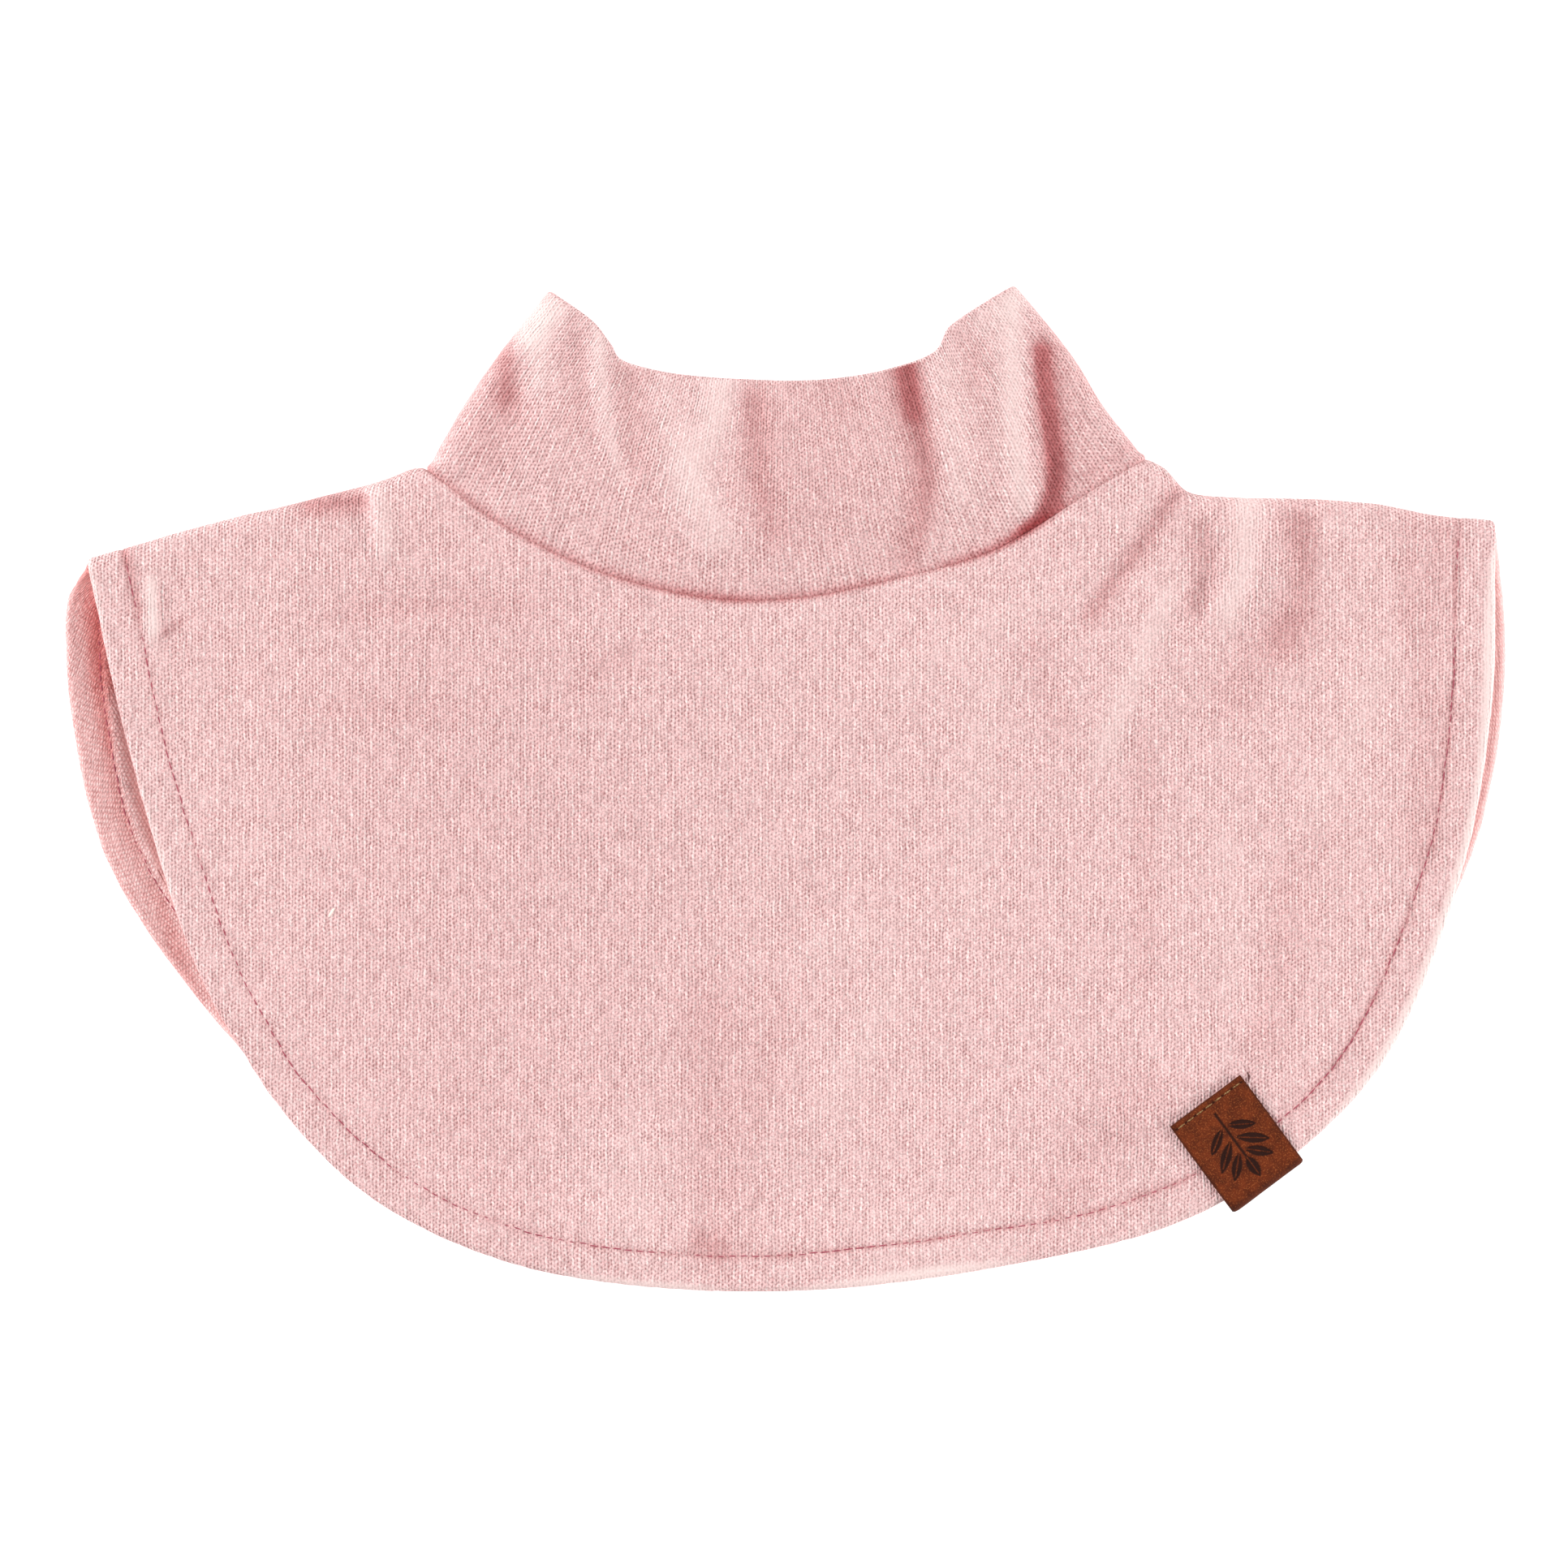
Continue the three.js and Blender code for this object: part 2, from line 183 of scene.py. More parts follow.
class SmoothCurve:
    """A smooth line through a table of places, read by the share of its length."""

    STEPS = 80

    def __init__(self, rows: Sequence[Place]) -> None:
        """Works out the line as a centripetal Catmull-Rom spline.

        Args:
            rows: The places that the line goes through.
        """
        points = np.array(rows, float)
        ring = np.vstack([2 * points[0] - points[1], points, 2 * points[-1] - points[-2]])
        gaps = np.linalg.norm(np.diff(ring, axis=0), axis=1) ** 0.5
        s = np.linspace(0, 1, self.STEPS, endpoint=False)[:, None]
        spans = []
        for k in range(len(points) - 1):
            p0, p1, p2, p3 = ring[k:k + 4]
            d0, d1, d2 = gaps[k:k + 3]
            leave = ((p1 - p0) / d0 - (p2 - p0) / (d0 + d1) + (p2 - p1) / d1) * d1
            arrive = ((p2 - p1) / d1 - (p3 - p1) / (d1 + d2) + (p3 - p2) / d2) * d1
            start_part = (2 * s**3 - 3 * s**2 + 1) * p1 + (s**3 - 2 * s**2 + s) * leave
            spans.append(start_part + (3 * s**2 - 2 * s**3) * p2 + (s**3 - s**2) * arrive)
        self.line = np.vstack([*spans, points[-1:]])
        steps = np.linalg.norm(np.diff(self.line, axis=0), axis=1)
        self.travel = np.concatenate([[0.0], np.cumsum(steps)])
        self.length = float(self.travel[-1])

    def at(self, share: np.ndarray) -> np.ndarray:
        """Reads places on the line, and straight on past its ends.

        Args:
            share: Shares of the length, 0 at the start and 1 at the end.

        Returns:
            The places, with x and y on a new last axis.
        """
        share = np.asarray(share, float)
        reach = share * self.length
        inside = np.stack([np.interp(reach, self.travel, self.line[:, k]) for k in (0, 1)], axis=-1)
        start = (self.line[1] - self.line[0]) / (self.travel[1] - self.travel[0])
        end = (self.line[-1] - self.line[-2]) / (self.travel[-1] - self.travel[-2])
        before = np.minimum(reach, 0)[..., None] * start
        after = np.maximum(reach - self.length, 0)[..., None] * end
        return inside + before + after

    def nearest(self, places: np.ndarray) -> tuple[np.ndarray, np.ndarray]:
        """Finds how far places lie from the line.

        Args:
            places: An array whose last axis holds x and y.

        Returns:
            The distance of each place to the line, and how far along the line it is nearest.
        """
        count = max(2, int(self.length / 0.4))
        travel = np.linspace(0, self.length, count)
        tree = KDTree(count)
        for k, (x, y) in enumerate(self.at(travel / self.length)):
            tree.insert((x, y, 0), k)
        tree.balance()
        found = [tree.find((x, y, 0))[1:] for x, y in places.reshape(-1, 2)]
        indices, distances = np.array(found).T
        shape = places.shape[:-1]
        return distances.reshape(shape), travel[indices.astype(int)].reshape(shape)


@dataclass(frozen=True)
class Patch:
    """A flat patch between four edge curves, with u across from left to right and v outwards.

    Inner and outer are its edges at v 0 and 1; left and right are those at u 0 and 1.
    """

    inner: SmoothCurve
    outer: SmoothCurve
    left: SmoothCurve
    right: SmoothCurve

    def point(self, u: np.ndarray, v: np.ndarray) -> np.ndarray:
        """Reads places on the patch.

        Args:
            u: Shares of the way across.
            v: Shares of the way outwards.

        Returns:
            The places, with x and y on a new last axis.
        """
        a, b = u[..., None], v[..., None]
        inner_left, inner_right = self.inner.at(0), self.inner.at(1)
        outer_left, outer_right = self.outer.at(0), self.outer.at(1)
        across = self.inner.at(u) * (1 - b) + self.outer.at(u) * b
        along = self.left.at(v) * (1 - a) + self.right.at(v) * a
        corners = (inner_left * (1 - a) + inner_right * a) * (1 - b)
        corners = corners + (outer_left * (1 - a) + outer_right * a) * b
        return across + along - corners

    def width_across(self, v: np.ndarray) -> np.ndarray:
        """Returns the width at the share v of the way outwards."""
        return self.inner.length * (1 - v) + self.outer.length * v

    def length_along(self, u: np.ndarray) -> np.ndarray:
        """Returns the straight distance between the two edges at the share u."""
        return np.linalg.norm(self.inner.at(u) - self.outer.at(u), axis=-1)


@dataclass(frozen=True)
class Fold:
    """A ridge or valley of the cloth along a path; its rise is below 0 for a valley.

    Left and right are its half-widths on the two sides, seen on the way along the path with its
    start at the top, and ends is its strength at the path's start and end. Its tone is painted
    shade above 0 and painted light below 0, laid along the fold.
    """

    path: tuple[Place, ...]
    left: float
    right: float
    rise: float = 0.0
    tone: float = 0.0
    taper: float = 6.0
    ends: tuple[float, float] = (1.0, 1.0)

    def share(self, places: np.ndarray) -> np.ndarray:
        """Works out how much of the fold's full strength each place gets.

        Args:
            places: An array whose last axis holds x and y.

        Returns:
            Shares from 0 to 1.
        """
        curve = SmoothCurve(self.path)
        count = max(3, int(curve.length / 1.2))
        shares = np.linspace(0, 1, count)
        line = curve.at(shares)
        way = np.gradient(line, axis=0)
        way /= np.linalg.norm(way, axis=1, keepdims=True)
        result = np.zeros(places.shape[:-1])
        widest = 3 * max(self.left, self.right, self.taper)
        low, high = line.min(axis=0) - widest, line.max(axis=0) + widest
        near = np.all((places > low) & (places < high), axis=-1)
        spots = places[near]
        if not len(spots):
            return result
        nearest = np.argmin(((spots[:, None] - line[None]) ** 2).sum(axis=-1), axis=1)
        offset = spots - line[nearest]
        across = offset[:, 1] * way[nearest, 0] - offset[:, 0] * way[nearest, 1]
        along = (offset * way[nearest]).sum(axis=1)
        half = np.where(across < 0, self.left, self.right)
        strength = self.ends[0] + (self.ends[1] - self.ends[0]) * shares[nearest]
        result[near] = strength * np.exp(-((across / half) ** 2) - (along / self.taper) ** 2)
        return result


def height_of(folds: Sequence[Fold], places: np.ndarray) -> np.ndarray:
    """Adds up the heights of folds at places."""
    return sum(fold.rise * fold.share(places) for fold in folds if fold.rise)


def painted_shade_and_light_of(folds: Sequence[Fold], places: np.ndarray) -> np.ndarray:
    """Adds up the painted shade and light of folds at places."""
    return sum(fold.tone * fold.share(places) for fold in folds if fold.tone)


# Folds of the bib's front, whose tones are painted shade and light
BIB_FOLDS = [
    Fold(((90, 68), (84, 58.5), (78, 51), (72, 42)), 1.8, 2.4, -1.3, 0.50, 4.0),
    Fold(((97, 60), (98, 52), (96, 43)), 2.8, 3.4, -1.4, 0.32, 4.0),
    Fold(((89, 44), (82, 28), (75, 10)), 3.0, 3.2, 0.8, -0.38),
    Fold(((108.2, 66), (107.5, 54), (104, 42)), 3.8, 3.4, 2.1, -0.55, 5.0),
    Fold(((127, 60), (126, 48)), 3.0, 3.0, 0.3, -0.15, 5.0),
    Fold(((120, 62), (121.4, 53), (120.4, 44), (116, 35)), 4.0, 5.2, -1.8, 0.56, 4.0, (0.9, 0.5)),
    Fold(((116, 36), (105, 22)), 7.0, 7.0, -0.7, 0.20, 7.0),
    Fold(((141, 30), (121, -8)), 3.4, 4.4, 0.6, -0.18, 8.0),
    Fold(((146, 60), (145, 36)), 2.4, 2.4, -0.4, 0.20, 5.0),
    Fold(((153, 60), (151.5, 46), (148, 24)), 3.0, 4.0, -0.5, 0.22, 6.0, (1.0, 0.6)),
    Fold(((152, 18), (148, -14)), 5.0, 5.0, -0.4, 0.16, 6.0),
    Fold(((-148.4, 47), (-147.8, 36.5)), 1.6, 1.5, 0.25, -0.50, 3.0),
    Fold(((-111, 66.6), (-100, 67.4)), 3.2, 3.0, -1.5, 0.60, 3.5),
    Fold(((-97, 71), (-94.6, 65), (-94, 57)), 2.0, 3.0, 1.9, -0.45, 4.0),
    Fold(((-148, 48), (-147.4, 38)), 1.8, 1.2, 0.8, -0.40, 2.2),
    Fold(((-153.6, 56), (-151, 42)), 0.9, 0.9, 0.0, 0.30, 2.0),
    Fold(((-145.8, 44), (-145.4, 36)), 0.9, 1.2, -0.3, 0.15, 2.0),
    Fold(((-146, 36.2), (-142, 39.0)), 1.0, 1.0, -0.4, 0.40, 1.6),
    Fold(((-129, 30), (-128, -30)), 9.0, 9.0, 0.4, 0.0, 14.0),
    Fold(((-98, 42), (-64, 43)), 3.0, 3.0, -0.5, 0.14, 8.0),
    Fold(((-104, 18.5), (-84, 18.5)), 3.0, 3.0, -0.35, 0.12, 8.0),
    Fold(((-48, 25), (-36, 31)), 3.0, 3.0, -0.4, 0.14, 4.0),
    Fold(((58, 44), (28, 27)), 3.0, 4.0, 0.5, -0.14),
    Fold(((47, 22), (44, -22)), 4.4, 4.0, 0.55, -0.14, 9.0),
    Fold(((58, 34), (64, 15)), 3.4, 3.4, -0.4, 0.14, 5.0),
    Fold(((2, -41), (22, -32)), 3.4, 3.4, 0.4, -0.15),
    Fold(((24, -48), (12, -72)), 4.6, 4.6, 0.45, -0.16, 7.0),
    Fold(((0, -44), (-6, -74)), 4.0, 4.0, -0.4, 0.10, 8.0),
    Fold(((-36, -84), (-34, -106)), 9.0, 6.0, 0.9, -0.14),
    Fold(((-19, -52), (-16, -108)), 6.0, 11.0, -0.6, 0.15, 8.0),
    Fold(((-20, -106), (-16, -107)), 2.6, 2.6, 0.0, 0.35, 3.0),
    Fold(((84, 8), (84, -40)), 3.0, 3.0, -0.4, 0.15, 9.0),
    Fold(((104, -14), (106, -44)), 5.0, 4.0, 0.5, -0.12, 8.0),
    Fold(((120, -12), (111, -60)), 4.6, 8.0, -0.6, 0.15, 8.0),
    Fold(((84, -72), (64, -95)), 9.0, 9.0, -0.5, 0.15, 8.0),
    Fold(((-76, -74), (-60, -104)), 7.0, 7.0, -0.4, 0.05, 8.0),
    Fold(((24, -108), (46, -104)), 7.0, 9.0, 0.3, -0.16, 9.0),
    Fold(((-78, 40), (-62, -62)), 50.0, 56.0, 0.0, 0.10, 34.0),
]

# Folds of the collar's front, whose tones are painted shade and light
COLLAR_FOLDS = [
    Fold(((0, 150), (0, 20)), 200.0, 200.0, 0.0, 0.10, 90.0),
    Fold(((-57.5, 108), (-57.5, 97)), 3.6, 3.6, 1.5, -0.40),
    Fold(((-60, 106), (-54, 112)), 3.5, 4.5, 0.0, -0.75, 4.0),
    Fold(((-65.4, 100), (-65.2, 93)), 2.8, 3.0, -1.4, 0.55, 5.0),
    Fold(((-66, 90), (-70, 78)), 7.0, 6.0, -0.8, 0.20),
    Fold(((-49, 107), (-48.6, 97), (-48, 88)), 5.0, 3.6, -0.8, 0.10, 5.0),
    Fold(((-43.6, 108), (-43, 96), (-41.6, 86), (-38.5, 75)), 2.4, 1.8, 1.4, -0.60, 6.0, (1.0, 0.5)),
    Fold(((-36.5, 96), (-36, 76)), 3.6, 4.4, -0.9, 0.12),
    Fold(
        ((-14.6, 95), (-16.6, 85), (-20.8, 77), (-19, 66), (-16, 60)),
        5.4, 4.2, 1.6, -0.58, 5.0, (1.1, 0.8),
    ),
    Fold(((-26, 80), (-24, 70)), 4.0, 4.0, 0.4, -0.25, 5.0),
    Fold(((-28, 94), (-27, 88)), 3.6, 3.6, 0.6, -0.22, 4.0),
    Fold(((-8.2, 90), (-7.2, 82), (-6.2, 72), (-3.6, 62)), 3.2, 4.4, -1.7, 0.58, 6.0, (0.7, 0.5)),
    Fold(((9, 92), (9, 64)), 15.0, 15.0, 0.0, 0.08, 8.0),
    Fold(((12, 94), (13, 90)), 4.0, 4.0, -0.4, 0.12, 3.0),
    Fold(
        ((28.4, 100), (30.4, 91), (32.4, 80), (33.2, 73), (32, 64), (29, 54)),
        4.6, 2.8, -2.1, 1.05, 3.0, (0.8, 0.32),
    ),
    Fold(((28, 99), (29.6, 88)), 3.2, 2.2, 0.0, 0.40, 2.5),
    Fold(((37, 98), (38, 86), (41, 70)), 3.4, 4.6, 0.7, -0.30),
    Fold(((43, 106), (44, 96)), 3.6, 4.0, -0.7, 0.12, 5.0),
    Fold(((46, 109), (54, 116)), 4.0, 4.0, 0.0, -0.35, 4.0),
    Fold(((53.4, 112), (53.6, 100), (54, 84), (56, 67)), 3.8, 2.4, 2.0, -0.62, 5.0),
    Fold(
        ((59.6, 102), (60.6, 92), (62.2, 80), (62.6, 72), (60.6, 65), (57, 61)),
        2.3, 3.6, -2.7, 1.5, 3.6, (0.75, 0.85),
    ),
    Fold(((68, 96), (69, 84), (70, 74)), 5.0, 5.0, 0.0, 0.10, 4.0),
    Fold(((71, 73.5), (80.5, 79.6)), 1.8, 1.8, -0.3, 0.22, 3.0),
]

# How hard the neck seam pulls the cloth in and deepens its painted shade, as x across and the pull
SEAM_PULL = [
    (-84.0, 0.25), (-74.0, 0.35), (-45.0, 0.42), (-30.0, 0.50), (-20.0, 0.62), (-13.0, 0.68),
    (-5.0, 0.50), (22.0, 0.45), (29.0, 0.20), (34.0, 0.20), (38.0, 0.50), (50.0, 0.70), (57.0, 0.95),
    (62.0, 0.55), (66.0, 0.15), (84.0, 0.12),
]

# How plainly the hem's stitch line shows, in its groove and in its painted shade, as x across and the share
LINE_STRENGTH = [
    (-156.0, 1.5), (-152.5, 0.9), (-150.0, 0.6), (-138.0, 0.4), (-60.0, 0.4), (-36.0, 0.8),
    (-14.0, 0.5), (4.0, 0.9), (30.0, 1.1), (42.0, 1.45), (52.0, 1.3), (60.0, 0.8), (90.0, 1.0),
    (130.0, 1.0), (158.0, 0.8), (170.0, 0.8),
]

# How deep the stitch line lies inside the hem's edge, as the way along the hem and the depth
LINE_DEPTH = [
    (0.0, 9.0), (20.0, 9.1), (48.0, 8.5), (80.0, 9.2), (106.0, 8.9), (130.0, 8.1), (160.0, 8.9),
    (190.0, 8.3), (262.0, 8.2), (286.0, 9.1), (318.0, 9.0), (336.0, 8.2), (356.0, 8.9), (405.0, 8.4),
    (430.0, 9.3), (452.0, 9.2), (480.0, 8.6), (500.0, 9.3), (530.0, 9.6), (560.0, 8.8),
]

# How much the hem's rolled edge catches the light, as the way along the hem, the tone and the width
EDGE_LIGHT = [
    (0.0, -0.45, 1.1), (14.0, -0.35, 1.0), (26.0, -0.05, 0.8), (36.0, 0.15, 0.6), (48.0, 0.0, 0.6),
    (58.0, -0.25, 1.0), (70.0, -0.5, 1.1), (80.0, -0.4, 1.1), (90.0, 0.1, 0.6), (120.0, 0.2, 0.6),
    (134.0, 0.0, 0.6), (212.0, 0.0, 0.8), (222.0, -0.6, 1.1), (240.0, -0.8, 1.2), (250.0, -0.5, 1.1),
    (258.0, 0.0, 0.8), (270.0, -0.25, 0.8), (282.0, -0.8, 1.3), (294.0, -1.0, 2.0), (306.0, -1.0, 2.2),
    (318.0, -0.7, 1.5), (330.0, 0.0, 0.8), (358.0, -0.25, 1.2), (402.0, -0.35, 1.1), (424.0, -1.1, 1.6),
    (470.0, -1.0, 1.5), (496.0, -1.1, 1.3), (524.0, -1.15, 2.2), (544.0, -1.1, 1.3), (552.0, 0.0, 0.6),
]

# How dark the back's inside is beside the front hem, as y and the tone
INSIDE_SHADE = [
    (-60.0, 0.2), (-49.0, 0.6), (-38.0, 1.0), (-27.0, 0.6), (-16.0, 0.0), (-4.0, -0.1), (7.0, 0.1),
    (18.0, 0.6), (26.0, 1.3), (33.0, 1.35), (43.0, 1.1), (54.0, 1.0),
]


def from_table(table: Sequence[tuple[float, ...]], at: np.ndarray, column: int = 1) -> np.ndarray:
    """Reads a column of a table, in between its rows too."""
    rows = np.array(table)
    return np.interp(at, rows[:, 0], rows[:, column])


@dataclass(frozen=True)
class Stations:
    """Places round a flattened ring: over the front from left to right, and back under it."""

    front_steps: int
    back_steps: int
    roll_steps: int = 10
    crowding: float = 0.5

    def half(self, layer: Layer) -> np.ndarray:
        """Lists one layer's stations.

        Args:
            layer: The front or the back.

        Returns:
            Rows of share, end and turn. End is -1 or 1 on the roll at the left or right side, and 0
            between them; turn goes from 0 at the silhouette to a quarter turn where the cloth lies flat.
        """
        steps = self.front_steps if layer is Layer.FRONT else self.back_steps
        even = np.linspace(0, 1, steps + 1)
        crowded = even * (1 - self.crowding) + (1 - np.cos(math.pi * even)) / 2 * self.crowding
        turns = np.linspace(0, QUARTER, self.roll_steps, endpoint=False)
        left = [(0.0, -1.0, turn) for turn in turns]
        middle = [(share, 0.0, QUARTER) for share in crowded]
        right = [(1.0, 1.0, turn) for turn in turns[::-1]]
        stations = np.array(left + middle + right)
        return stations if layer is Layer.FRONT else stations[::-1][1:-1]


class Row(NamedTuple):
    """A line round a ring, outwards by a share of the patch's length and an offset in millimetres."""

    share: float
    offset: float


class Step(NamedTuple):
    """A step of a wall's section: its row, its depth under the outer face and its place on the cloth."""

    row: int
    depth: float
    unrolled: Row


class Signal:
    """A value in a shader that is reckoned with as a plain number is."""

    def __init__(self, graph: "Graph", socket: bpy.types.NodeSocket) -> None:
        """Keeps the socket that gives the value, and its graph."""
        self.graph, self.socket = graph, socket

    def __add__(self, other: "Signal | float") -> "Signal":
        """Adds a value."""
        return self.graph.math("ADD", self, other)

    def __sub__(self, other: "Signal | float") -> "Signal":
        """Takes a value away."""
        return self.graph.math("SUBTRACT", self, other)

    def __rsub__(self, other: float) -> "Signal":
        """Takes the value away from a number."""
        return self.graph.math("SUBTRACT", other, self)

    def __mul__(self, other: "Signal | float") -> "Signal":
        """Multiplies by a value."""
        return self.graph.math("MULTIPLY", self, other)

    def __truediv__(self, other: "Signal | float") -> "Signal":
        """Divides by a value."""
        return self.graph.math("DIVIDE", self, other)


class Graph:
    """A shader node tree that grows one linked node at a time."""

    def __init__(self, tree: bpy.types.NodeTree) -> None:
        """Keeps the tree."""
        self.tree = tree

    def put(self, node: bpy.types.Node, given: dict) -> None:
        """Fills a node's inputs.

        Args:
            node: The node.
            given: Signals to link and plain values to set, by the input's name or number.
        """
        for name, value in given.items():
            if isinstance(value, Signal):
                self.tree.links.new(value.socket, node.inputs[name])
            else:
                node.inputs[name].default_value = value

    def node(self, kind: str, given: dict | None = None, **settings: object) -> bpy.types.Node:
        """Adds a node.

        Args:
            kind: Its type.
            given: What its inputs get, by name or number.
            settings: Its own settings.

        Returns:
            The node.
        """
        made = self.tree.nodes.new(kind)
        for name, value in settings.items():
            setattr(made, name, value)
        self.put(made, given or {})
        return made

    def value(
        self, kind: str, given: dict | None = None, output: str | int = 0, **settings: str | bool
    ) -> Signal:
        """Adds a node and returns one of its outputs."""
        return Signal(self, self.node(kind, given, **settings).outputs[output])

    def math(self, operation: str, *values: object, clamp: bool = False) -> Signal:
        """Adds a Math node, whose result can be kept from 0 to 1."""
        given = dict(enumerate(values))
        return self.value("ShaderNodeMath", given, operation=operation, use_clamp=clamp)

    def ramp(self, value: Signal, low: float, high: float, start: float = 0.0, end: float = 1.0) -> Signal:
        """Turns low..high smoothly into start..end."""
        given = {"Value": value, "From Min": low, "From Max": high, "To Min": start, "To Max": end}
        return self.value("ShaderNodeMapRange", given, "Result", interpolation_type="SMOOTHSTEP")

    def blend(self, share: object, first: object, second: object, kind: str = "MIX") -> Signal:
        """Mixes a share of the second colour into the first one."""
        given = {0: share, 6: first, 7: second}
        return self.value("ShaderNodeMix", given, 2, data_type="RGBA", blend_type=kind)

    def noise(
        self, place: Signal, scale: float, detail: float = 2.0, roughness: float = 0.5, output: str = "Fac"
    ) -> Signal:
        """Adds a noise that changes over the place."""
        given = {"Vector": place, "Scale": scale, "Detail": detail, "Roughness": roughness}
        return self.value("ShaderNodeTexNoise", given, output)

    def vector(self, x: object, y: object, z: object = 0.0) -> Signal:
        """Joins three values to a vector."""
        return self.value("ShaderNodeCombineXYZ", {0: x, 1: y, 2: z})

    def split(self, vector: Signal) -> tuple[Signal, ...]:
        """Returns the x, y and z of a vector."""
        return self._outputs(self.node("ShaderNodeSeparateXYZ", {0: vector}))

    def group(self, tree: bpy.types.NodeTree, **values: object) -> tuple[Signal, ...]:
        """Places a node group with its inputs by name, and returns its outputs."""
        return self._outputs(self.node("ShaderNodeGroup", values, node_tree=tree))

    def _outputs(self, node: bpy.types.Node) -> tuple[Signal, ...]:
        """Returns all the outputs of a node."""
        return tuple(Signal(self, socket) for socket in node.outputs)

    def cloth_map(self) -> Signal:
        """Reads the place on the cloth, in metres."""
        return self.value("ShaderNodeUVMap", output="UV", uv_map=KNIT_MAP)

    def attribute(self, name: str) -> Signal:
        """Reads a number that is stored on the mesh."""
        return self.value("ShaderNodeAttribute", output="Fac", attribute_name=name)

    def object_place(self) -> Signal:
        """Reads the place in the frame."""
        return self.value("ShaderNodeTexCoord", output="Object")


@dataclass
class Dressing:
    """A material that is being made, with its graph and its shader."""

    name: str

    def __post_init__(self) -> None:
        """Starts the material with a Principled shader."""
        self.material = bpy.data.materials.new(self.name)
        self.material.use_nodes = True
        self.graph = Graph(self.material.node_tree)
        self.shader = self.material.node_tree.nodes["Principled BSDF"]

    def relief(self, height: Signal, strength: float, depth: float) -> Signal:
        """Adds a bump whose depth is in metres and returns its normal."""
        given = {"Height": height, "Strength": strength, "Distance": depth}
        return self.graph.value("ShaderNodeBump", given, "Normal")

    def finish(self, given: dict) -> bpy.types.Material:
        """Gives the shader its inputs by name and returns the material."""
        self.graph.put(self.shader, given)
        return self.material


def new_group(
    name: str, inputs: dict[str, float | None], outputs: Sequence[str]
) -> tuple[Graph, dict[str, Signal], bpy.types.Node]:
    """Starts a shader node group.

    Args:
        name: What the group is called.
        inputs: The plain value of each input, or None for a vector.
        outputs: The names of its outputs, which are all numbers.

    Returns:
        The group's graph, its inputs by name and its output node.
    """
    tree = bpy.data.node_groups.new(name, "ShaderNodeTree")
    for title, default in inputs.items():
        kind = "NodeSocketVector" if default is None else "NodeSocketFloat"
        socket = tree.interface.new_socket(title, in_out="INPUT", socket_type=kind)
        if default is not None:
            socket.default_value = default
    for title in outputs:
        tree.interface.new_socket(title, in_out="OUTPUT", socket_type="NodeSocketFloat")
    graph = Graph(tree)
    entry = graph.node("NodeGroupInput")
    given = {title: Signal(graph, entry.outputs[title]) for title in inputs}
    return graph, given, graph.node("NodeGroupOutput")


def knit_loops_group() -> bpy.types.NodeTree:
    """Builds the pattern of knitted loops, with its right side and its reverse.

    Returns:
        A group that takes the place on the cloth in metres, and gives the loops' height and a
        random number for each loop.
    """
    sizes = {"Wale": 0.00157, "Course": 0.00107, "Lean": 0.6, "Wander": 0.7, "Rounding": 1.2}
    looks = {"Bulge": 0.2, "Bridge": 0.6, "ShadedLeg": 0.3, "Reverse": 0.0}
    graph, given, leave = new_group("knit_loops", {"Cloth": None, **sizes, **looks}, ["Height", "Loop"])
    x, y, _ = graph.split(given["Cloth"])
    sway_x, sway_y, _ = graph.split(graph.noise(given["Cloth"], 300.0, output="Color"))
    wale = x / given["Wale"] + (sway_x - 0.5) * given["Wander"]
    course = y / given["Course"] + (sway_y - 0.5) * (given["Wander"] * 1.5)

    from_middle = graph.math("ABSOLUTE", graph.math("FRACT", wale) * 2.0 - 1.0)
    rising = course - from_middle * given["Lean"]
    yarn = graph.math("COSINE", rising * TURN) * 0.5 + 0.5
    leg = graph.math("POWER", graph.math("SINE", from_middle * math.pi), given["Rounding"])
    bridge = (1.0 - leg) * (yarn * given["Bridge"])
    bulge = (yarn - 1.0) * given["Bulge"] + 1.0
    # One leg of each loop is lower, both in the bump and in the painted shade of the colour, as if lit from
    # one side
    lit = 1.0 - graph.math("GREATER_THAN", graph.math("FRACT", wale), 0.5) * given["ShadedLeg"]
    right_side = leg * bulge * lit + bridge

    half_wale = wale * 2.0
    leg_index = graph.math("FLOOR", half_wale)
    parity = graph.math("MODULO", leg_index, 2.0) * 0.5
    bead_rise = graph.math("COSINE", (course + parity) * TURN) * 0.33 + 0.67
    bead_round = graph.math("ABSOLUTE", graph.math("SINE", half_wale * math.pi))
    reverse = bead_rise * (graph.math("POWER", bead_round, 0.6) * 0.6 + 0.4)
    sides = {0: given["Reverse"], 2: right_side, 3: reverse}
    height = graph.value("ShaderNodeMix", sides, data_type="FLOAT")
    loop = {"Vector": graph.vector(leg_index, graph.math("FLOOR", rising + 0.5))}
    random = graph.value("ShaderNodeTexWhiteNoise", loop, "Value", noise_dimensions="2D")
    graph.put(leave, {"Height": height, "Loop": random})
    return graph.tree


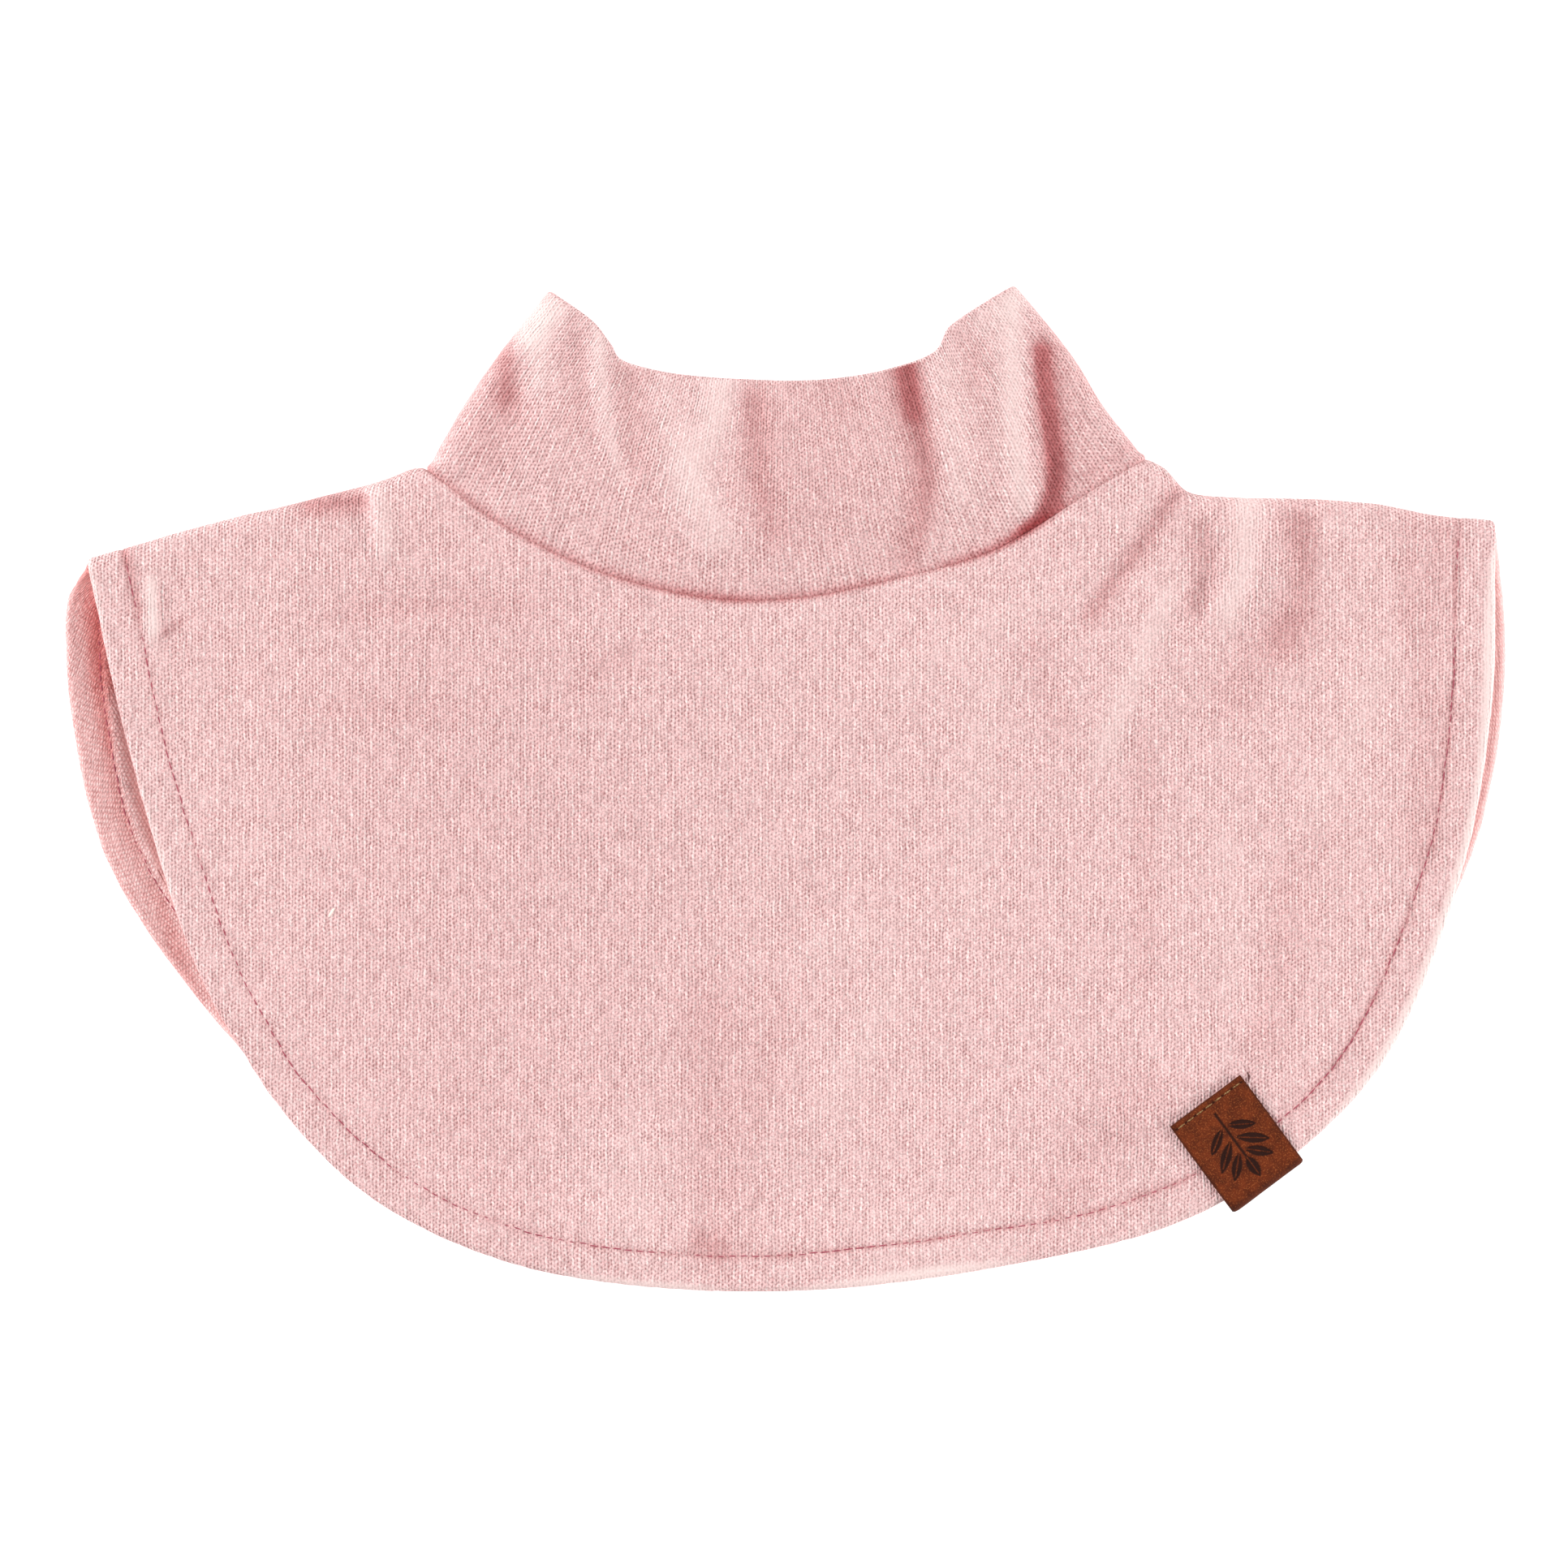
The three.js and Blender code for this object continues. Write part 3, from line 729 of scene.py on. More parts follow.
def yarn_tone_group() -> bpy.types.NodeTree:
    """Builds the uneven tone of a melange yarn: soft clouds, streaks along the wales and specks.

    Returns:
        A group that takes the place on the cloth in metres and gives a tone round 0.5.
    """
    outputs = ["Tone", "Clouds", "Strand", "Pale", "Deep"]
    graph, given, leave = new_group("yarn_tone", {"Cloth": None, "Streaks": 0.15}, outputs)
    cloth = given["Cloth"]
    x, y, _ = graph.split(cloth)

    def stretched(aside: float, share: float, scale: float, roughness: float = 0.4) -> Signal:
        """Adds a noise that is drawn out along the wales."""
        across = x + aside if aside else x
        return graph.noise(graph.vector(across, y * share), scale, 1.0, roughness)

    streaks = stretched(0.0, 0.09, 620.0, 0.5)
    tone = graph.noise(cloth, 2300.0, 1.0) + (streaks - 0.5) * given["Streaks"]
    graph.put(leave, {
        "Tone": tone,
        "Clouds": graph.noise(cloth, 180.0),
        "Strand": graph.ramp(stretched(0.0, 0.14, 1700.0), 0.3, 0.7, -0.5, 0.5),
        "Pale": graph.ramp(stretched(0.0, 0.6, 1500.0), 0.56, 0.76),
        "Deep": graph.ramp(stretched(3.7, 0.6, 1300.0), 0.58, 0.78),
    })
    return graph.tree


def worn_edge_group() -> bpy.types.NodeTree:
    """Builds a ragged darkening along edges.

    Returns:
        A group that takes a place and an edge mask from 0 to 1, and gives the mask of what is darkened.
    """
    inputs = {"Place": None, "Edge": 0.0, "Raggedness": 0.6}
    graph, given, leave = new_group("worn_edge", inputs, ["Worn"])
    ragged = (graph.noise(given["Place"], 900.0, 4.0, 0.7) - 0.5) * given["Raggedness"]
    graph.put(leave, {"Worn": graph.ramp(given["Edge"] + ragged, 0.35, 0.95)})
    return graph.tree


def linear(value: float) -> float:
    """Undoes a screen's gamma for one channel, given from 0 to 1."""
    return value / 12.92 if value <= 0.04045 else ((value + 0.055) / 1.055) ** 2.4


def paint(red: int, green: int, blue: int) -> Colour:
    """Turns a colour from a screen's 0 to 255 into Blender's linear values."""
    return (linear(red / 255), linear(green / 255), linear(blue / 255), 1.0)


@dataclass(frozen=True)
class KnitFinish:
    """Fine stocking stitch in a soft melange yarn."""

    name: str
    yarn: Colour = paint(247, 207, 206)
    inner_yarn: Colour = paint(252, 210, 208)
    # Painted shade in the gaps between the loops, on the right side and on the reverse
    loop_gap_shade: Colour = paint(174, 118, 117)
    inner_loop_gap_shade: Colour = paint(200, 132, 130)
    # Random pale flecks, and the painted highlight on the loops' tops
    fleck_and_highlight: Colour = paint(255, 240, 236)
    dark_fleck: Colour = paint(214, 140, 142)
    # The painted shade's tint on the right side and on the reverse, then the painted light's pale colours on
    # each
    crowded: Colour = paint(206, 152, 154)
    inner_painted_shade: Colour = paint(234, 190, 188)
    painted_highlight: Colour = paint(255, 228, 224)
    inner_painted_highlight: Colour = paint(255, 200, 196)
    sheen_tint: Colour = paint(255, 226, 222)
    wale: float = 1.57 * MM
    course: float = 1.07 * MM
    relief: float = 0.30 * MM
    inner_relief: float = 0.5
    fuzz: float = 0.22
    fibre_relief: float = 0.4
    streaks: float = 0.22
    loops_differ: float = 0.2
    patches: float = 1.4
    lowest: float = -0.2
    highest: float = 0.8
    flecked: float = 0.4
    dark_flecked: float = 0.35
    speckle: float = 0.2
    sheen: float = 0.2

    def material(self, loops: bpy.types.NodeTree, tones: bpy.types.NodeTree) -> bpy.types.Material:
        """Builds the material.

        Args:
            loops: The group of knitted loops.
            tones: The group of the yarn's uneven tone.

        Returns:
            The material, which reads the cloth's own map, its reverse side and its painted shade and light.
        """
        dressing = Dressing(self.name)
        graph = dressing.graph
        cloth = graph.cloth_map()
        reverse, crowding = graph.attribute(REVERSE), graph.attribute(PAINTED_SHADE_AND_LIGHT)
        height, loop = graph.group(loops, Cloth=cloth, Wale=self.wale, Course=self.course, Reverse=reverse)
        tone, clouds, strand, pale, deep = graph.group(tones, Cloth=cloth)

        uneven = (height - 0.75) * ((clouds - 0.5) * self.patches) + height
        uneven = strand * self.streaks + uneven
        uneven = (loop - 0.5) * self.loops_differ + uneven
        # Painted shade: the gaps between the loops get a darker colour
        loop_gap_shade = graph.blend(reverse, self.loop_gap_shade, self.inner_loop_gap_shade)
        yarn = graph.blend(reverse, self.yarn, self.inner_yarn)
        colour = graph.blend(graph.ramp(uneven, self.lowest, self.highest), loop_gap_shade, yarn)
        # Painted highlight: the loops' tops are mixed towards the pale fleck colour
        loop_top_highlight = graph.ramp(uneven, self.highest, self.highest + 0.35, 0.0, 0.9)
        colour = graph.blend(loop_top_highlight, colour, self.fleck_and_highlight)
        colour = graph.blend(deep * self.dark_flecked, colour, self.dark_fleck)
        colour = graph.blend(pale * self.flecked, colour, self.fleck_and_highlight)
        shade = graph.ramp(tone, 0.25, 0.75, 1 - self.speckle, 1 + self.speckle)
        cloud = graph.ramp(clouds, 0.3, 0.7, 0.98, 1.02)
        value = shade * cloud * graph.ramp(loop, 0.0, 1.0, 0.94, 1.04)
        colour = graph.blend(1.0, colour, graph.vector(value, value, value), "MULTIPLY")
        # Painted shade: the colour is multiplied once or twice by the shade tint as the tone attribute rises
        # towards 2
        depth = graph.blend(reverse, self.crowded, self.inner_painted_shade)
        painted_shade_shares = (
            graph.math("MULTIPLY", crowding, 1.0, clamp=True),
            graph.math("SUBTRACT", crowding, 1.0, clamp=True),
        )
        for share in painted_shade_shares:
            colour = graph.blend(share, colour, graph.blend(1.0, colour, depth, "MULTIPLY"))
        # Painted light: the colour is mixed towards a pale one where the tone attribute is below 0
        painted_highlight = graph.blend(reverse, self.painted_highlight, self.inner_painted_highlight)
        colour = graph.blend(graph.math("MULTIPLY", crowding, -1.0, clamp=True), colour, painted_highlight)

        raised = graph.noise(cloth, 4200.0) * self.fuzz + (strand * self.fibre_relief + height)
        raised = raised * graph.ramp(reverse, 0.0, 1.0, 1.0, self.inner_relief)
        return dressing.finish({
            "Base Color": colour,
            "Roughness": graph.ramp(height, 0.0, 0.8, 0.98, 0.86),
            "Normal": dressing.relief(raised, 0.9, self.relief),
            "Specular IOR Level": 0.15,
            "Sheen Weight": self.sheen,
            "Sheen Roughness": 0.45,
            "Sheen Tint": self.sheen_tint,
        })


@dataclass(frozen=True)
class LeatherFinish:
    """Oiled brown leather with a grain, darkened edges and a darkened pressing."""

    name: str
    hide: Colour = paint(116, 48, 18)
    deep: Colour = paint(80, 30, 10)
    grained: Colour = paint(168, 94, 50)
    burnt: Colour = paint(58, 22, 10)
    pressed: Colour = paint(36, 17, 13)
    grain: float = 0.12 * MM

    def material(self, wear: bpy.types.NodeTree) -> bpy.types.Material:
        """Builds the material.

        Args:
            wear: The group of ragged edges.

        Returns:
            The material, which reads the strip's map and its edge and pressed attributes.
        """
        dressing = Dressing(self.name)
        graph = dressing.graph
        place = graph.cloth_map()
        edge, pressed = graph.attribute(EDGE), graph.attribute(PRESSED)
        mottle = graph.noise(place, 260.0, 5.0, 0.65)
        fine = graph.noise(place, 2600.0, 3.0, 0.6)
        given = {"Vector": place, "Scale": 2100.0}
        pores = graph.value("ShaderNodeTexVoronoi", given, "Distance", feature="F1")
        worn, = graph.group(wear, Place=place, Edge=edge)

        colour = graph.blend(graph.ramp(mottle, 0.32, 0.68), self.deep, self.hide)
        colour = graph.blend(graph.ramp(fine, 0.5, 0.7, 0.0, 0.7), colour, self.grained)
        colour = graph.blend(graph.ramp(fine, 0.45, 0.25, 0.0, 0.7), colour, self.deep)
        colour = graph.blend(worn * 0.6, colour, self.burnt)
        colour = graph.blend(pressed * 0.93, colour, self.pressed)
        return dressing.finish({
            "Base Color": colour,
            "Roughness": graph.ramp(fine, 0.2, 0.8, 0.7, 0.9),
            "Normal": dressing.relief(pores * 0.7 + fine * 0.6, 0.7, self.grain),
            "Specular IOR Level": 0.15,
        })


@dataclass(frozen=True)
class ThreadFinish:
    """Spun sewing thread with its twist."""

    name: str
    colour: Colour
    shade: Colour
    twist: float = 0.35 * MM
    relief: float = 0.08 * MM

    def material(self) -> bpy.types.Material:
        """Builds the material.

        Returns:
            The material, whose fibres follow the place in the frame.
        """
        dressing = Dressing(self.name)
        graph = dressing.graph
        fibres = graph.noise(graph.object_place(), 1.0 / self.twist, 3.0)
        return dressing.finish({
            "Base Color": graph.blend(graph.ramp(fibres, 0.3, 0.7), self.shade, self.colour),
            "Roughness": graph.ramp(fibres, 0.3, 0.7, 0.9, 0.7),
            "Normal": dressing.relief(fibres, 0.6, self.relief),
            "Specular IOR Level": 0.3,
        })


def mesh_object(name: str, places: np.ndarray, faces: np.ndarray, corner_map: np.ndarray) -> bpy.types.Object:
    """Makes an object from quads.

    Args:
        name: The piece's name.
        places: The vertices in millimetres.
        faces: Four vertex numbers for each face.
        corner_map: The place on the cloth at each face corner, in millimetres.

    Returns:
        The object, in metres, with its cloth map and smooth faces.
    """
    mesh = bpy.data.meshes.new(name)
    mesh.vertices.add(places.size // 3)
    mesh.vertices.foreach_set("co", (places * MM).astype(np.float32).ravel())
    mesh.loops.add(faces.size)
    mesh.loops.foreach_set("vertex_index", faces.astype(np.int32).ravel())
    mesh.polygons.add(len(faces))
    mesh.polygons.foreach_set("loop_start", np.arange(0, faces.size, 4, dtype=np.int32))
    mesh.update(calc_edges=True)
    layer = mesh.uv_layers.new(name=KNIT_MAP)
    layer.data.foreach_set("uv", (corner_map * MM).astype(np.float32).ravel())
    mesh.polygons.foreach_set("use_smooth", np.ones(len(faces), bool))
    mesh.validate()
    return in_scene(name, mesh)


def in_scene(name: str, data: bpy.types.ID) -> bpy.types.Object:
    """Puts a new object in the scene.

    Args:
        name: Its name.
        data: The mesh, light or camera that it holds.

    Returns:
        The object.
    """
    made = bpy.data.objects.new(name, data)
    bpy.context.scene.collection.objects.link(made)
    return made


def set_attribute(piece: bpy.types.Object, name: str, values: np.ndarray) -> None:
    """Stores one number for each vertex of a piece."""
    attribute = piece.data.attributes.new(name, "FLOAT", "POINT")
    attribute.data.foreach_set("value", values.astype(np.float32).ravel())


def round_edge(radius: float, steps: int) -> list[tuple[float, float, float]]:
    """Lists the steps of half a turn round the edge of a wall.

    Args:
        radius: Half the wall's thickness.
        steps: How many steps a quarter turn takes.

    Returns:
        The distance to the edge, the depth under the outer face and the way travelled, for each step.
    """
    turns = np.linspace(0, math.pi, 2 * steps + 1)
    return [(radius * (1 - math.sin(t)), radius * (1 - math.cos(t)), radius * t) for t in turns]


class ClothRing:
    """A flattened ring of cloth, built as a closed wall between its outer and its inner face.

    The bib and the collar give it their patches, rows, section and heights. Arrays by station and
    row, or by station and step of the section, have the stations on their first axis.
    """

    # 1 where stations and rows turn so that their cross product faces out, or else -1
    OUTWARD = 1

    patches: dict[Layer, Patch]
    rows: list[Row]
    section: list[Step]

    def lay_out(self, stations: Stations) -> None:
        """Prepares each station's shares.

        Args:
            stations: The places round the two layers.
        """
        front, back = (stations.half(layer) for layer in Layer)
        table = np.vstack([front, back])
        self.front = np.arange(len(table))[:, None] < len(front)
        self.layers = {Layer.FRONT: self.front[:, 0], Layer.BACK: ~self.front[:, 0]}
        self.share, self.end, self.turn = (table[:, [k]] for k in range(3))
        self.length = np.empty_like(self.share)
        for layer, chosen in self.layers.items():
            self.length[chosen] = self.patches[layer].length_along(self.share[chosen])
        self.v = self.shares_of(self.rows)

    def shares_of(self, rows: Sequence[Row]) -> np.ndarray:
        """Returns the share v of rows at each station."""
        return np.concatenate([row.share + row.offset / self.length for row in rows], axis=1)

    def across(self, margin: np.ndarray) -> np.ndarray:
        """Works out the share u of each station, as seen from above.

        Args:
            margin: The radius of the roll at the sides, as a share of the width.

        Returns:
            Shares of the way across the patch.
        """
        flat = margin + (1 - 2 * margin) * self.share
        inset = margin * (1 - np.cos(self.turn))
        return np.where(self.end == 0, flat, np.where(self.end < 0, inset, 1 - inset))

    def unrolled_across(self, margin: np.ndarray) -> np.ndarray:
        """Works out the share u with the rolls laid out flat, past the sides of the patch.

        Args:
            margin: The radius of the roll at the sides, as a share of the width.

        Returns:
            Shares of the way across the patch.
        """
        flat = margin + (1 - 2 * margin) * self.share
        wrapped = np.where(self.front, QUARTER - self.turn, QUARTER + self.turn)
        reach = margin * (1 - wrapped)
        laid_out = np.where(self.share < 0.5, reach, 1 - reach)
        return np.where((self.end == 0) & self.front, flat, laid_out)

    def surface(self) -> tuple[np.ndarray, np.ndarray]:
        """Works out the smooth outer face.

        Returns:
            The vertices by station and row, and each one's margin of the roll as a share of the width.
        """
        outer = np.zeros((*self.v.shape, 3))
        margin = np.zeros_like(self.v)
        for layer, chosen in self.layers.items():
            patch, v, length = self.patches[layer], self.v[chosen], self.length[chosen]
            width = patch.width_across(v)
            side = np.where(self.share[chosen] < 0.5, 0.0, 1.0) + 0 * v
            margin[chosen] = self.top(patch.point(side, v), v, length, width, 0 * v) / 2 / width
            u = self.across(margin)[chosen]
            place = patch.point(u, v)
            top = self.top(place, v, length, width, np.minimum(u, 1 - u))
            outer[chosen, :, :2] = place
            outer[chosen, :, 2] = top * (1 + layer.value * np.sin(self.turn[chosen])) / 2
        return outer, margin

    def normals(self, places: np.ndarray) -> np.ndarray:
        """Works out which way an outer face looks.

        Args:
            places: Its vertices by station and row.

        Returns:
            Its unit normals.
        """
        round_way = np.roll(places, -1, axis=0) - np.roll(places, 1, axis=0)
        normals = np.cross(np.gradient(places, axis=1), round_way) * self.OUTWARD
        return normals / np.maximum(np.linalg.norm(normals, axis=-1, keepdims=True), 1e-9)

    def proud(self, smooth: np.ndarray, detail: np.ndarray) -> np.ndarray:
        """Moves an outer face out by its detail."""
        return smooth + self.normals(smooth) * detail[..., None]

    def by_step(self, values: np.ndarray) -> np.ndarray:
        """Turns values by station and row into values by station and step of the section."""
        return values[:, [step.row for step in self.section]]

    def deeper_than(self, depth: float) -> np.ndarray:
        """Returns which steps of the section lie deeper under the outer face."""
        return np.array([step.depth > depth for step in self.section])

    def wall(
        self,
        outer: np.ndarray,
        lining: np.ndarray,
        thinning: np.ndarray | float = 0.0,
        pinch: np.ndarray | float = 0.0,
    ) -> np.ndarray:
        """Works out the wall's vertices.

        Args:
            outer: The outer face, by station and row.
            lining: The outer face without its grooves, which the inner face follows.
            thinning: How many millimetres the wall loses at each station and step.
            pinch: Which share of its thickness it loses there.

        Returns:
            The vertices, by station and step.
        """
        depth = np.array([step.depth for step in self.section])
        inner = self.deeper_than(0.45 * depth.max())[:, None]
        faces = np.where(inner, self.by_step(lining), self.by_step(outer))
        wall = faces - self.by_step(self.normals(lining)) * (depth * (1 - pinch) - thinning)[..., None]
        wall[..., 2] = np.maximum(wall[..., 2], 0.0)
        return wall

    def _quads(self, own: np.ndarray, beside: np.ndarray) -> np.ndarray:
        """Puts values at each face's own station and at the next one in the order of its corners."""
        corners = [own, np.roll(own, -1, axis=1), np.roll(beside, -1, axis=1), beside]
        return np.stack(corners[::self.OUTWARD], axis=2)

    def cloth(
        self,
        name: str,
        wall: np.ndarray,
        places: tuple[np.ndarray, np.ndarray],
        reverse: np.ndarray,
        tones: np.ndarray,
    ) -> bpy.types.Object:
        """Makes the piece, with what its knitted material reads.

        Args:
            name: The piece's name.
            wall: Its vertices, by station and step.
            places: The places on the cloth at each face's own station and at the next one.
            reverse: 1 at the steps that show the reverse side and 0 elsewhere.
            tones: The painted shade, above 0, and the painted light, below 0, by station and step.

        Returns:
            The piece.
        """
        number = np.arange(wall.size // 3).reshape(wall.shape[:2])
        faces = self._quads(number, np.roll(number, -1, axis=0)).reshape(-1, 4)
        piece = mesh_object(name, wall, faces, self._quads(*places))
        set_attribute(piece, REVERSE, np.broadcast_to(reverse, number.shape))
        set_attribute(piece, PAINTED_SHADE_AND_LIGHT, tones)
        return piece


class HemView(NamedTuple):
    """Where vertices lie as seen from the hem: the distance, the way along it and the stitches' depth."""

    from_edge: np.ndarray
    travel: np.ndarray
    line: np.ndarray


@dataclass
class Bib(ClothRing):
    """The bib: front and back in one, rolled over at the shoulders, with a turned and stitched hem."""

    knit: float = 1.3
    hem_thickness: float = 2.6
    turn_depth: float = 9.75
    back_line: float = 7.9
    hem_wander: float = 0.12
    stitch_pitch: float = 2.8
    clearance: float = 0.12
    neck_top: float = 12.0
    body_top: float = 4.2
    hem_top: float = 5.6
    neck_slope_reach: float = 88.0
    hem_ridge_start: float = 9.0
    hem_ridge_reach: float = 14.0
    edge_lift: float = 1.6
    edge_lift_reach: float = 30.0
    edge_lift_share: float = 0.3
    smooth_by_seam: float = 6.0
    tab_seat: float = 6.9
    groove_depth: float = 0.42
    groove_half: float = 0.65
    pucker: float = 0.2
    pucker_reach: float = 4.5
    puff: float = 0.12
    broad_waves: float = 0.30
    small_waves: float = 0.10
    stations: Stations = Stations(front_steps=400, back_steps=200)
    neck_zone: float = 7.0
    hem_zone: float = 13.5
    fine_step: float = 0.55
    middle_rows: int = 54
    hem_slope: float = 4.0
    inner_groove: float = 0.15
    neck_pinch: float = 0.65
    neck_dip: float = 0.35
    neck_dip_reach: float = 1.3
    neck_pinch_reach: float = 2.6
    # Painted shade along the stitch line, the neck seam, the back's inside and its crease, and painted light
    # on the right strip and by the front hem's rim
    stitch_painted_shade: float = 0.5
    stitch_shadow: float = 0.14
    seam_painted_shade: float = 1.2
    seam_reach: float = 1.8
    inside_painted_shade: float = 0.28
    shadow_reach: float = 4.5
    strip_painted_light: float = -0.5
    crease_painted_shade: float = 0.5
    rim_painted_light: float = 0.9
    rim_reach: float = 1.7

    def __post_init__(self) -> None:
        """Works out the curves and the rows."""
        self.neck = SmoothCurve(NECK_SEAM)
        sides = SmoothCurve(SHOULDER_LEFT), SmoothCurve(SHOULDER_RIGHT)
        self.hems = {Layer.FRONT: SmoothCurve(FRONT_HEM), Layer.BACK: SmoothCurve(BACK_HEM)}
        self.patches = {layer: Patch(self.neck, hem, *sides) for layer, hem in self.hems.items()}
        self.depth_noise = SoftNoise(cell=9.0, seed=11)
        self.rows, self.section = self._section()
        self.lay_out(self.stations)

    def _section(self) -> tuple[list[Row], list[Step]]:
        """Lays out the wall.

        Returns:
            The rows from the neck to the hem, and the section's steps through them.
        """
        neck_turn, hem_turn = 4, 5
        neck_edge = round_edge(self.knit / 2, neck_turn)
        radius = self.hem_thickness / 2
        hem_edge = round_edge(radius, hem_turn)
        rows = [Row(0, self.clearance + edge) for edge, _, _ in neck_edge[neck_turn::-1]]
        first_flat = len(rows) - 1
        rows += [Row(0, d) for d in np.arange(self.clearance + self.knit, self.neck_zone, self.fine_step)]
        shares = np.linspace(0, 1, self.middle_rows + 1)
        rows += [Row(s, self.neck_zone * (1 - s) - self.hem_zone * s) for s in shares]
        in_zone = np.arange(self.hem_zone - self.fine_step, radius + 0.2, -self.fine_step)
        raw_edge = [self.turn_depth - 0.02, self.turn_depth + 0.02]
        rows += [Row(1, -d) for d in sorted([*in_zone, *raw_edge], reverse=True)]
        last_flat = len(rows)
        rows += [Row(1, -edge) for edge, _, _ in hem_edge[:hem_turn + 1]]

        section = []
        for k, (_, depth, way) in enumerate(neck_edge[neck_turn::-1]):
            section.append(Step(k, depth, Row(0, rows[first_flat].offset - way)))
        section += [Step(k, 0.0, rows[k]) for k in range(first_flat + 1, last_flat)]
        for k, (_, depth, way) in enumerate(hem_edge):
            section.append(Step(last_flat + min(k, 2 * hem_turn - k), depth, Row(1, way - radius)))
        turned = math.pi * radius - 2 * radius
        in_hem = [k for k in range(last_flat - 1, first_flat, -1) if rows[k].share == 1]
        for k in in_hem:
            from_edge = -rows[k].offset
            doubled = float(fade(from_edge - self.turn_depth, self.hem_slope))
            extra = (self.hem_thickness - self.knit) * doubled
            unrolled = Row(1, turned + from_edge) if from_edge < self.turn_depth else rows[k]
            section.append(Step(k, self.knit + extra, unrolled))
        section += [Step(k, self.knit, rows[k]) for k in range(in_hem[-1] - 1, first_flat, -3)]
        for k, (_, depth, _) in enumerate(neck_edge[:neck_turn:-1]):
            section.append(Step(first_flat - k, depth, Row(0, rows[first_flat].offset)))
        return rows, section

    def inner_steps(self) -> np.ndarray:
        """Returns which steps of the section belong to the wall's inner face."""
        return self.deeper_than(0.9 * self.knit)

    def top(
        self, places: np.ndarray, v: np.ndarray, length: np.ndarray, width: np.ndarray, to_side: np.ndarray
    ) -> np.ndarray:
        """Works out the height of the front's upper face.

        Args:
            places: Places seen from above.
            v: Their shares of the way from the neck seam to the hem.
            length: How long that way is.
            width: The cloth's width there; not used.
            to_side: Their shares of the way to the nearer shoulder.

        Returns:
            Heights in millimetres.
        """
        from_neck, from_edge = v * length, (1 - v) * length
        slope = (self.neck_top - self.body_top) * fade(from_neck, self.neck_slope_reach)
        ridge = (self.hem_top - self.body_top) * fade(from_edge - self.hem_ridge_start, self.hem_ridge_reach)
        lift = self.edge_lift * fade(from_edge, self.edge_lift_reach) * fade(to_side, self.edge_lift_share)
        folds = height_of(BIB_FOLDS, places) * (1 - fade(from_neck, self.smooth_by_seam))
        seat = LabelTab.seat_weight(places)
        return (self.body_top + slope + ridge + lift + folds) * (1 - seat) + self.tab_seat * seat

    def line_depth(self, travel: np.ndarray, layer: Layer) -> np.ndarray:
        """Works out how far the stitch line lies from the hem's edge.

        Args:
            travel: The ways along the hem.
            layer: The hem of the front or of the back.

        Returns:
            Depths in millimetres.
        """
        places = np.stack([travel, np.full_like(travel, 7.3)], axis=-1)
        depth = from_table(LINE_DEPTH, travel) if layer is Layer.FRONT else self.back_line
        return depth + self.hem_wander * self.depth_noise.at(places)

    def hem_view(self, outer: np.ndarray) -> HemView:
        """Measures the vertices from their own layer's hem.

        Args:
            outer: The smooth outer face, by station and row.

        Returns:
            The measures, by station and row.
        """
        from_edge, travel, line = (np.zeros(outer.shape[:2]) for _ in range(3))
        for layer, chosen in self.layers.items():
            from_edge[chosen], travel[chosen] = self.hems[layer].nearest(outer[chosen][..., :2])
            line[chosen] = self.line_depth(travel[chosen], layer)
        return HemView(from_edge, travel, line)

    def detail(self, outer: np.ndarray, hem: HemView, grooved: bool) -> np.ndarray:
        """Works out how far the cloth stands proud of its smooth face.

        Args:
            outer: The smooth outer face, by station and row.
            hem: Its measures from the hem.
            grooved: Whether the stitches draw it in.

        Returns:
            Distances along the normals, below 0 for a groove.
        """
        broad, small = SoftNoise(cell=17.0, seed=3), SoftNoise(cell=6.0, seed=4)
        crimp = SoftNoise(cell=4.2, seed=5)
        places = outer[..., :2]
        from_neck = self.neck.nearest(places)[0]
        from_line = hem.from_edge - hem.line
        beat = 0.82 + 0.18 * np.cos(TURN * hem.travel / self.stitch_pitch)
        shown = from_table(LINE_STRENGTH, places[..., 0])
        groove = -self.groove_depth * shown * beat * bell(from_line, self.groove_half)
        puffed = self.puff * np.sin(math.pi * np.clip(hem.from_edge / hem.line, 0, 1)) ** 0.7
        strain = np.stack([hem.travel, hem.from_edge * 0.35], axis=-1)
        puckers = self.pucker * crimp.at(strain) * bell(from_line, self.pucker_reach)
        waves = self.broad_waves * broad.at(places) + self.small_waves * small.at(places)
        uneven = waves * (1 - fade(from_neck, 7.0))
        quiet = 1 - 0.9 * LabelTab.seat_weight(places)
        dip = self.neck_dip * fade(from_neck, self.neck_dip_reach)
        return (groove * grooved + puffed + puckers + uneven) * quiet - dip

    def crowding(self, outer: np.ndarray, hem: HemView) -> np.ndarray:
        """Works out the painted shade, above 0, and the painted light, below 0, in the cloth's colour.

        Args:
            outer: The smooth outer face, by station and row.
            hem: Its measures from the hem.

        Returns:
            Tones from -1 to 1, by station and step of the section.
        """
        places = outer[..., :2]
        x, y = places[..., 0], places[..., 1]
        ragged = SoftNoise(cell=2.6, seed=6).at(np.stack([hem.travel, hem.from_edge], axis=-1))
        from_line = hem.from_edge - hem.line
